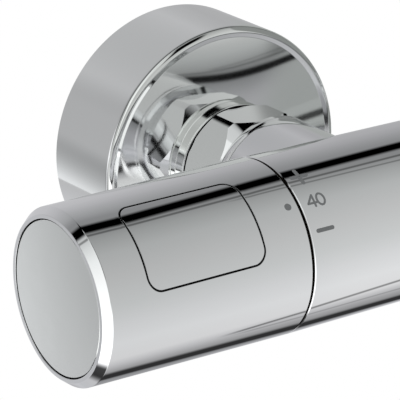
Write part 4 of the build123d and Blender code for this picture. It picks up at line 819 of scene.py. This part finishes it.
def cover_profiles():
    """The round cover's section: its outside from the wall to the neck's edge, its inside, and the gap
    behind the union nut, which takes painted shade.

    The rim's arc passes its crest and runs down ROSETTE_RIM_SLOPE into a shallow valley, where the front
    starts, which rises to the neck by ROSETTE_SLOPE. A bead runs round the neck's edge.
    """
    wall, crest_r = WALL, ROSETTE_R - ROSETTE_EDGE
    bend = np.linspace(math.pi / 2, -ROSETTE_RIM_SLOPE, 16)
    rim = np.stack((ROSETTE_CREST + ROSETTE_EDGE * (1 - np.cos(bend)), crest_r + ROSETTE_EDGE * np.sin(bend)), axis=-1)
    side = np.array([(wall, ROSETTE_R - 0.1), (wall - 0.1, ROSETTE_R), (ROSETTE_CREST + ROSETTE_EDGE + 0.1, ROSETTE_R)])
    valley = rim[-1] + np.array((ROSETTE_RIM_SLOPE, -1.0)) * (rim[-1, 1] - ROSETTE_VALLEY_R)
    neck_h = valley[0] - ROSETTE_SLOPE * (ROSETTE_VALLEY_R - ROSETTE_NECK_R)
    r, edge, lip = ROSETTE_NECK_R, ROSETTE_NECK_EDGE, ROSETTE_NECK_FRONT
    front = rounded_profile([
        (*rim[-1], 0), (*valley, 0.8), (neck_h, r - 0.1, 0.15), (lip + 1.0, r - 0.1, 0.1), (lip + 0.8, r + 0.1, 0.15),
        (lip, r + 0.1, 0.3), (lip, r - edge, 0.1), (lip + 0.2, r - edge, 0)], closed=False)[1:]
    gap = np.array([(lip + 0.2, r - edge), (lip + 1.6, r - edge), (lip + 1.6, 13.3), (neck_h, 13.3)])
    inside = rounded_profile([
        (neck_h, 13.3, 0), (neck_h + 5, 13.3, 0), (neck_h + 5, r, 0), (neck_h + 1.5, r, 0),
        (ROSETTE_CREST + 1.5, 33.0, 0), (ROSETTE_CREST + ROSETTE_EDGE, 33.7, 0), (wall, 33.7, 0.05),
        (wall, ROSETTE_R - 0.1, 0)], closed=False)
    return np.concatenate((side, rim, front)), inside, gap


# Marks

MARK_PROUD = 0.04


def stroke(start, end, width, steps=24):
    """A stroke with round ends, as (x, y) lines from one side to the other, with points all along it."""
    start, end = np.array(start, float), np.array(end, float)
    length = np.linalg.norm(end - start)
    along = (end - start) / length if length > 1e-9 else np.array([1.0, 0.0])
    across = np.array([-along[1], along[0]])
    half = width / 2
    t = np.linspace(0, math.pi / 2, steps // 4 + 1)
    reach = np.concatenate((-half * np.cos(t), np.linspace(0, length, 9)[1:-1], length + half * np.sin(t)))
    side = np.concatenate((half * np.sin(t), np.full(7, half), half * np.cos(t)))
    rows = np.array([-1.0, 0.0, 1.0])[:, None, None]
    return start + reach[:, None] * along + rows * side[:, None] * across


def oval(centre, half_x, half_y, width, steps=40):
    """A closed oval line: two offset ellipses."""
    t = np.linspace(0, 2 * math.pi, steps + 1)
    c, s = np.cos(t)[:, None], np.sin(t)[:, None]
    grow = np.array([-width / 2, width / 2])[:, None, None]
    x = centre[0] + (half_x + grow) * c
    y = centre[1] + (half_y + grow) * s
    return np.concatenate((x, y), axis=-1)


def print_on(patches, x0, angle0, radius_of):
    """Lays (x, y) patches on a round surface: x along the bar, y round it upwards from the front.

    Each patch becomes a thin closed skin, MARK_PROUD over the surface and sunk 0.05 mm into it.
    """
    grids = []
    for patch in patches:
        x = x0 + patch[..., 0]
        turn = angle0 + patch[..., 1] / BODY_R
        layers = [radius_of(x) + MARK_PROUD, radius_of(x) - 0.05]
        top, under = [np.stack((x, -r * np.cos(turn), r * np.sin(turn)), axis=-1) for r in layers]
        grids += [top, under, np.stack((top[0], under[0])), np.stack((top[-1], under[-1]))]
    return grids


class MIXER_OT_marks(bpy.types.Operator):
    """Prints the figure 40, the plus and minus signs and the dots"""
    bl_idname = "mixer.marks"
    bl_label = "Marks"

    def execute(self, context):
        looks = context.scene.mixer_looks
        size, width = looks.mark_height, looks.mark_stroke
        body_r = lambda x: BODY_R + 0 * x
        knob_r = lambda x: handle_r(np.abs(x) - BODY_HALF)
        four = [stroke((0.2 * size, 0.45 * size), (-0.36 * size, -0.18 * size), width),
                stroke((-0.36 * size, -0.18 * size), (0.4 * size, -0.18 * size), width),
                stroke((0.2 * size, 0.45 * size), (0.2 * size, -0.45 * size), width)]
        nought = [oval((0, 0), 0.32 * size, 0.45 * size, width)]
        minus = [stroke((-2.0, 0), (2.0, 0), 0.95)]
        plus = [stroke((-2.0, 0), (2.0, 0), 0.95), stroke((0, -2.0), (0, 2.0), 0.95)]
        dot = [stroke((0, 0), (0, 0), looks.dot_diameter)]
        middle = math.radians(45.8)
        body_marks, knob_marks, flow_marks = [], [], []
        body_marks += print_on(four, SEAM_X + 3.8, middle, body_r)
        body_marks += print_on(nought, SEAM_X + 6.35, middle, body_r)
        body_marks += print_on(minus, SEAM_X + 4.75, math.radians(26.8), body_r)
        body_marks += print_on(plus, SEAM_X + 4.45, math.radians(64.8), body_r)
        knob_marks += print_on(dot, SEAM_X - 2.72, math.radians(45.7), knob_r)
        body_marks += print_on(dot, -SEAM_X - 2.72, math.radians(45.7), body_r)
        flow_marks += print_on(minus, -SEAM_X + 4.75, math.radians(26.8), knob_r)
        flow_marks += print_on(plus, -SEAM_X + 4.45, math.radians(64.8), knob_r)
        for name, grids, body, slot_name in (("body_marks", body_marks, "valve_body", "chromed_body"),
                                             ("temperature_mark", knob_marks, "temperature_knob", "chromed_handle"),
                                             ("flow_marks", flow_marks, "flow_knob", "chromed_handle")):
            piece = shell(name, grids, body)
            wear(piece, MATERIALS["dark_mark"])
        return {"FINISHED"}


class MIXER_OT_finishes(bpy.types.Operator):
    """Makes the finishes and puts them on the pieces that keep their CAD form"""
    bl_idname = "mixer.finishes"
    bl_label = "Finishes"

    def execute(self, context):
        make_materials(context.scene.mixer_looks.mark_colour)
        for finish, nodes in NODE_FINISHES.items():
            for node in nodes:
                wear(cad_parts[node], MATERIALS[finish])
        return {"FINISHED"}


# Studio

def smooth_step(tree, value, low, high):
    """0 below low, 1 above high, and a smooth rise between."""
    node = add(tree, "ShaderNodeMapRange", {"Value": value}, interpolation_type="SMOOTHSTEP")
    node.inputs["From Min"].default_value = low
    node.inputs["From Max"].default_value = high
    return node.outputs[0]


def calc(tree, operation, a, b=None):
    """One Math node on sockets or plain numbers."""
    node = add(tree, "ShaderNodeMath", operation=operation)
    for k, value in enumerate((a, b)):
        if value is None:
            continue
        if isinstance(value, (int, float)):
            node.inputs[k].default_value = value
        else:
            tree.links.new(value, node.inputs[k])
    return node.outputs[0]


def clamp(tree, value, low, high):
    """The value, kept between low and high."""
    return calc(tree, "MAXIMUM", calc(tree, "MINIMUM", value, high), low)


# The studio's walls, by the angle about the bar's axis: 0 lies level behind the mixer, 90 above it, 180
# in front and 270 below. Each step is the grey that the chrome shows of that side, seen from the camera.
STUDIO_GREYS = (
    (-24, "#bcbdbf"), (-5, "#b3b3b5"), (15, "#b2b2b4"), (30, "#a9a9ab"), (46, "#98999a"), (60, "#868788"),
    (78, "#848585"), (95, "#9c9e9d"), (115, "#aeb0af"), (145, "#babbba"), (180, "#c5c7c6"), (205, "#d2d3d3"),
    (230, "#dbdcdc"), (255, "#d8d8d8"), (264, "#c2c2c3"), (276, "#a2a2a3"), (284, "#929293"), (305, "#8e8f91"),
    (318, "#adadb0"), (328, "#cfcfd2"), (334, "#d2d2d4"))

# Flags between the studio's lights, which the chrome shows as dark strips along the bar. Each has the angle
# of its middle, how far that leans for directions to one side, near the camera's and far from it, its half
# width and softness in degrees, the share of light that it lets through, and the sideways direction from
# which it fades in.
FLAGS = (
    (70.2, -92.0, 3.0, 3.9, 5.5, 0.0, -2.0),
    (83.0, -45.0, 0.0, 0.5, 2.0, 0.42, -2.0),
    (87.1, 0.0, 0.0, 0.3, 1.6, 0.55, 0.515),
    (263.0, -165.0, 0.0, 0.6, 2.4, 0.36, 0.506),
    (269.5, 0.0, 0.0, 0.3, 2.2, 0.70, 0.510),
    (293.3, 48.0, 27.0, 4.5, 8.5, 0.1, -2.0),
)
LOOK_SIDEWAYS = 0.526    # how far the camera looks along the bar


class MIXER_OT_studio(bpy.types.Operator):
    """Sets the pale floor, the soft studio light and the camera"""
    bl_idname = "mixer.studio"
    bl_label = "Studio"

    def execute(self, context):
        self.camera(context)
        self.floor(context)
        self.world(context)
        context.scene.view_settings.view_transform = "Standard"
        return {"FINISHED"}

    def camera(self, context):
        forward, up = Vector(CAMERA_FORWARD).normalized(), Vector(CAMERA_UP).normalized()
        side = forward.cross(up).normalized()
        data = bpy.data.cameras.new("photo_camera")
        data.lens, data.sensor_width = CAMERA_LENS, 36.0
        data.clip_start, data.clip_end = 0.01, 20.0
        camera = bpy.data.objects.new("photo_camera", data)
        turn = Matrix((side, side.cross(forward), -forward)).transposed()
        place = Vector((SEAM_X + CAMERA_OFFSET[0], AXIS_Y + CAMERA_OFFSET[1], AXIS_Z + CAMERA_OFFSET[2])) * 0.001
        camera.matrix_world = Matrix.Translation(place) @ turn.to_4x4()
        context.scene.collection.objects.link(camera)
        context.scene.camera = camera

    def floor(self, context):
        """A pale floor below the mixer, seen white from above and not at all from below."""
        s = np.array([-3.0, 3.0])
        x, y = np.meshgrid(s, s, indexing="ij")
        points = np.stack((x, y, np.full_like(x, -0.42)), axis=-1).reshape(-1, 3)
        mesh = bpy.data.meshes.new("studio_floor")
        mesh.from_pydata(points.tolist(), [], [(0, 2, 3, 1)])
        floor = bpy.data.objects.new("studio_floor", mesh)
        context.scene.collection.objects.link(floor)
        material = bpy.data.materials.new("white_paper_sweep")
        material.use_nodes = True
        tree = material.node_tree
        tree.nodes.clear()
        path = add(tree, "ShaderNodeLightPath").outputs
        paper = add(tree, "ShaderNodeBsdfDiffuse", Color=linear("#f2f2f2")).outputs[0]
        glow = add(tree, "ShaderNodeEmission", Color=(1, 1, 1, 1), Strength=1.0).outputs[0]
        seen = add(tree, "ShaderNodeMixShader", {1: paper, 2: glow})
        tree.links.new(path["Is Camera Ray"], seen.inputs[0])
        clear = add(tree, "ShaderNodeBsdfTransparent").outputs[0]
        back = add(tree, "ShaderNodeNewGeometry").outputs["Backfacing"]
        hide = calc(tree, "MAXIMUM", back, path["Is Glossy Ray"])
        both = add(tree, "ShaderNodeMixShader", {0: hide, 1: seen.outputs[0], 2: clear})
        add(tree, "ShaderNodeOutputMaterial", {"Surface": both.outputs[0]})
        mesh.materials.append(material)

    def world(self, context):
        """Plain white for the camera and for matt surfaces, and the studio for what the chrome reflects."""
        world = bpy.data.worlds.new("studio_world")
        context.scene.world = world
        world.use_nodes = True
        tree = world.node_tree
        tree.nodes.clear()
        direction = add(tree, "ShaderNodeTexCoord").outputs["Generated"]
        axes = add(tree, "ShaderNodeSeparateXYZ", {"Vector": direction}).outputs
        turn = calc(tree, "ARCTAN2", axes["Z"], axes["Y"])
        degrees = calc(tree, "MULTIPLY", turn, 180 / math.pi)
        level = self.room(tree, degrees, axes["X"], axes["Y"])
        strength = context.scene.mixer_looks.room_light
        path = add(tree, "ShaderNodeLightPath").outputs
        seen = add(tree, "ShaderNodeBackground", {"Color": level}, Strength=strength)
        white = add(tree, "ShaderNodeBackground", Color=(1, 1, 1, 1), Strength=1.0)
        plain = calc(tree, "MAXIMUM", path["Is Camera Ray"], path["Is Diffuse Ray"])
        mix = add(tree, "ShaderNodeMixShader", {0: plain, 1: seen.outputs[0], 2: white.outputs[0]})
        add(tree, "ShaderNodeOutputWorld", {"Surface": mix.outputs[0]})

    def room(self, tree, degrees, sideways, level):
        """Light from each direction: the studio's greys round the bar, brighter to the left, and its flags."""
        angle = calc(tree, "MODULO", calc(tree, "ADD", degrees, 390.0), 360.0)
        ramp = add(tree, "ShaderNodeValToRGB", {"Fac": calc(tree, "DIVIDE", angle, 360.0)})
        elements = ramp.color_ramp.elements
        while len(elements) < len(STUDIO_GREYS):
            elements.new(0.5)
        for element, (place, grey) in zip(elements, STUDIO_GREYS):
            element.position = (place + 30) / 360
            element.color = linear(grey)
        angle = calc(tree, "SUBTRACT", angle, 30.0)
        lateral = calc(tree, "SUBTRACT", sideways, LOOK_SIDEWAYS)
        near = clamp(tree, lateral, -0.06, 0.1)
        front = calc(tree, "SUBTRACT", 1.0, smooth_step(tree, angle, 255, 266))
        front = calc(tree, "MULTIPLY", front, smooth_step(tree, angle, 66, 82))
        wall = calc(tree, "SUBTRACT", 1.0, smooth_step(tree, angle, 50, 66))
        floor = smooth_step(tree, angle, 304, 316)
        # The big bright light stands in front, more than 40 degrees to the left, and wider near the floor.
        left = calc(tree, "SUBTRACT", calc(tree, "MULTIPLY", level, 0.643), calc(tree, "MULTIPLY", sideways, 0.766))
        left = smooth_step(tree, left, 0.055, 0.115)
        high = calc(tree, "MULTIPLY", smooth_step(tree, angle, 90, 100), 0.5)
        high = calc(tree, "MULTIPLY", high, calc(tree, "SUBTRACT", 1.0, smooth_step(tree, angle, 125, 140)))
        high = calc(tree, "MULTIPLY", high, calc(tree, "SUBTRACT", 1.0, smooth_step(tree, sideways, -0.2, -0.02)))
        left = calc(tree, "MAXIMUM", left, high)
        low = calc(tree, "SUBTRACT", 1.0, smooth_step(tree, sideways, -0.4, 0.3))
        low = calc(tree, "MULTIPLY", low, smooth_step(tree, angle, 172, 192))
        left = calc(tree, "MULTIPLY", calc(tree, "MAXIMUM", left, low), smooth_step(tree, sideways, -0.82, -0.75))
        right = smooth_step(tree, sideways, 0.6, 0.625)
        gain = calc(tree, "SUBTRACT", calc(tree, "MULTIPLY", near, 0.8), calc(tree, "MULTIPLY", right, 0.5))
        gain = calc(tree, "ADD", gain, calc(tree, "MULTIPLY", left, 1.05))
        gain = calc(tree, "ADD", 1.0, calc(tree, "MULTIPLY", gain, front))
        behind = calc(tree, "MULTIPLY", clamp(tree, lateral, -0.1, 0.06), -1.8)
        far = calc(tree, "SUBTRACT", 1.0, smooth_step(tree, sideways, -0.52, -0.36))
        behind = calc(tree, "SUBTRACT", behind, calc(tree, "MULTIPLY", far, 0.27))
        gain = calc(tree, "ADD", gain, calc(tree, "MULTIPLY", behind, wall))
        glow = calc(tree, "MULTIPLY", floor, calc(tree, "SUBTRACT", 1.0, smooth_step(tree, sideways, 0.6, 0.64)))
        gain = calc(tree, "ADD", gain, calc(tree, "MULTIPLY", calc(tree, "MULTIPLY", near, 4.2), glow))
        under = calc(tree, "SUBTRACT", 1.0, smooth_step(tree, angle, 314, 330))
        under = calc(tree, "MULTIPLY", under, smooth_step(tree, angle, 276, 290))
        under = calc(tree, "MULTIPLY", under, calc(tree, "SUBTRACT", 1.0, smooth_step(tree, sideways, 0.1, 0.45)))
        gain = calc(tree, "ADD", gain, calc(tree, "MULTIPLY", under, 0.9))
        gain = calc(tree, "MULTIPLY", gain, self.cap_light(tree, angle, sideways))
        # A light far to the left, and a black card high in front, left of the mixer's middle.
        beside = calc(tree, "SUBTRACT", 1.0, smooth_step(tree, sideways, -0.92, -0.8))
        gain = calc(tree, "ADD", gain, calc(tree, "MULTIPLY", calc(tree, "MULTIPLY", beside, wall), 1.2))
        card = calc(tree, "MULTIPLY", smooth_step(tree, angle, 96, 102), smooth_step(tree, sideways, -0.1, -0.02))
        card = calc(tree, "MULTIPLY", card, calc(tree, "SUBTRACT", 1.0, smooth_step(tree, sideways, 0.28, 0.4)))
        card = calc(tree, "MULTIPLY", card, calc(tree, "SUBTRACT", 1.0, smooth_step(tree, angle, 142, 150)))
        gain = calc(tree, "MULTIPLY", gain, calc(tree, "SUBTRACT", 1.0, card))
        for middle, slope, far_slope, half, soft, kept, start in FLAGS:
            lean = calc(tree, "MULTIPLY", clamp(tree, lateral, -0.05, 0.09), slope)
            away = clamp(tree, calc(tree, "ADD", lateral, 0.05), -0.75, 0.0)
            lean = calc(tree, "ADD", lean, calc(tree, "MULTIPLY", away, far_slope))
            fade = smooth_step(tree, sideways, start, start + 0.014)
            gain = calc(tree, "MULTIPLY", gain, self.flag(tree, angle, lean, middle, half, soft, kept, fade))
        beyond = add(tree, "ShaderNodeMix", {"Factor": smooth_step(tree, sideways, 0.6, 0.65)}, data_type="RGBA")
        socket_a, socket_b = [socket for socket in beyond.inputs if socket.type == "RGBA"]
        tree.links.new(ramp.outputs["Color"], socket_a)
        socket_b.default_value = linear("#aaadab")
        colour = [socket for socket in beyond.outputs if socket.type == "RGBA"][0]
        mix = add(tree, "ShaderNodeVectorMath", {0: colour}, operation="SCALE")
        tree.links.new(gain, mix.inputs["Scale"])
        return mix.outputs[0]

    def cap_light(self, tree, angle, sideways):
        """The soft light that the left end cap faces, behind the mixer to the left: it falls off to the left."""
        across = clamp(tree, calc(tree, "ADD", sideways, 0.46), -0.12, 0.1)
        near = calc(tree, "SUBTRACT", 1.0, smooth_step(tree, calc(tree, "ABSOLUTE", calc(tree, "ADD", angle, 27.0)), 9, 22))
        near = calc(tree, "MULTIPLY", near, calc(tree, "SUBTRACT", 1.0, smooth_step(tree, sideways, -0.36, -0.2)))
        return calc(tree, "ADD", 1.0, calc(tree, "MULTIPLY", calc(tree, "MULTIPLY", across, 3.1), near))

    def flag(self, tree, angle, lean, middle, half, soft, kept, fade):
        """The share of light left by a flag: kept at its middle, 1 beyond its half width and softness."""
        away = calc(tree, "ABSOLUTE", calc(tree, "SUBTRACT", calc(tree, "SUBTRACT", angle, middle), lean))
        shade = calc(tree, "SUBTRACT", 1.0, smooth_step(tree, away, half, half + soft))
        shade = calc(tree, "MULTIPLY", shade, 1.0 - kept)
        return calc(tree, "SUBTRACT", 1.0, calc(tree, "MULTIPLY", shade, fade))


class MIXER_PT_panel(bpy.types.Panel):
    bl_idname = "MIXER_PT_panel"
    bl_label = "Bar mixer"
    bl_space_type = "VIEW_3D"
    bl_region_type = "UI"
    bl_category = "Bar mixer"

    def draw(self, context):
        for operator in OPERATORS:
            self.layout.operator(operator.bl_idname)
        for name in MixerLooks.__annotations__:
            self.layout.prop(context.scene.mixer_looks, name)


OPERATORS = (MIXER_OT_finishes, MIXER_OT_body, MIXER_OT_handles, MIXER_OT_unions, MIXER_OT_marks, MIXER_OT_studio)
CLASSES = (MixerLooks,) + OPERATORS + (MIXER_PT_panel,)


def register():
    for item in CLASSES:
        bpy.utils.register_class(item)
    bpy.types.Scene.mixer_looks = PointerProperty(type=MixerLooks)


def unregister():
    del bpy.types.Scene.mixer_looks
    for item in reversed(CLASSES):
        bpy.utils.unregister_class(item)


def main():
    register()
    bpy.ops.mixer.finishes()
    bpy.ops.mixer.body()
    bpy.ops.mixer.handles()
    bpy.ops.mixer.unions()
    bpy.ops.mixer.marks()
    bpy.ops.mixer.studio()


if __name__ == "__main__":
    main()
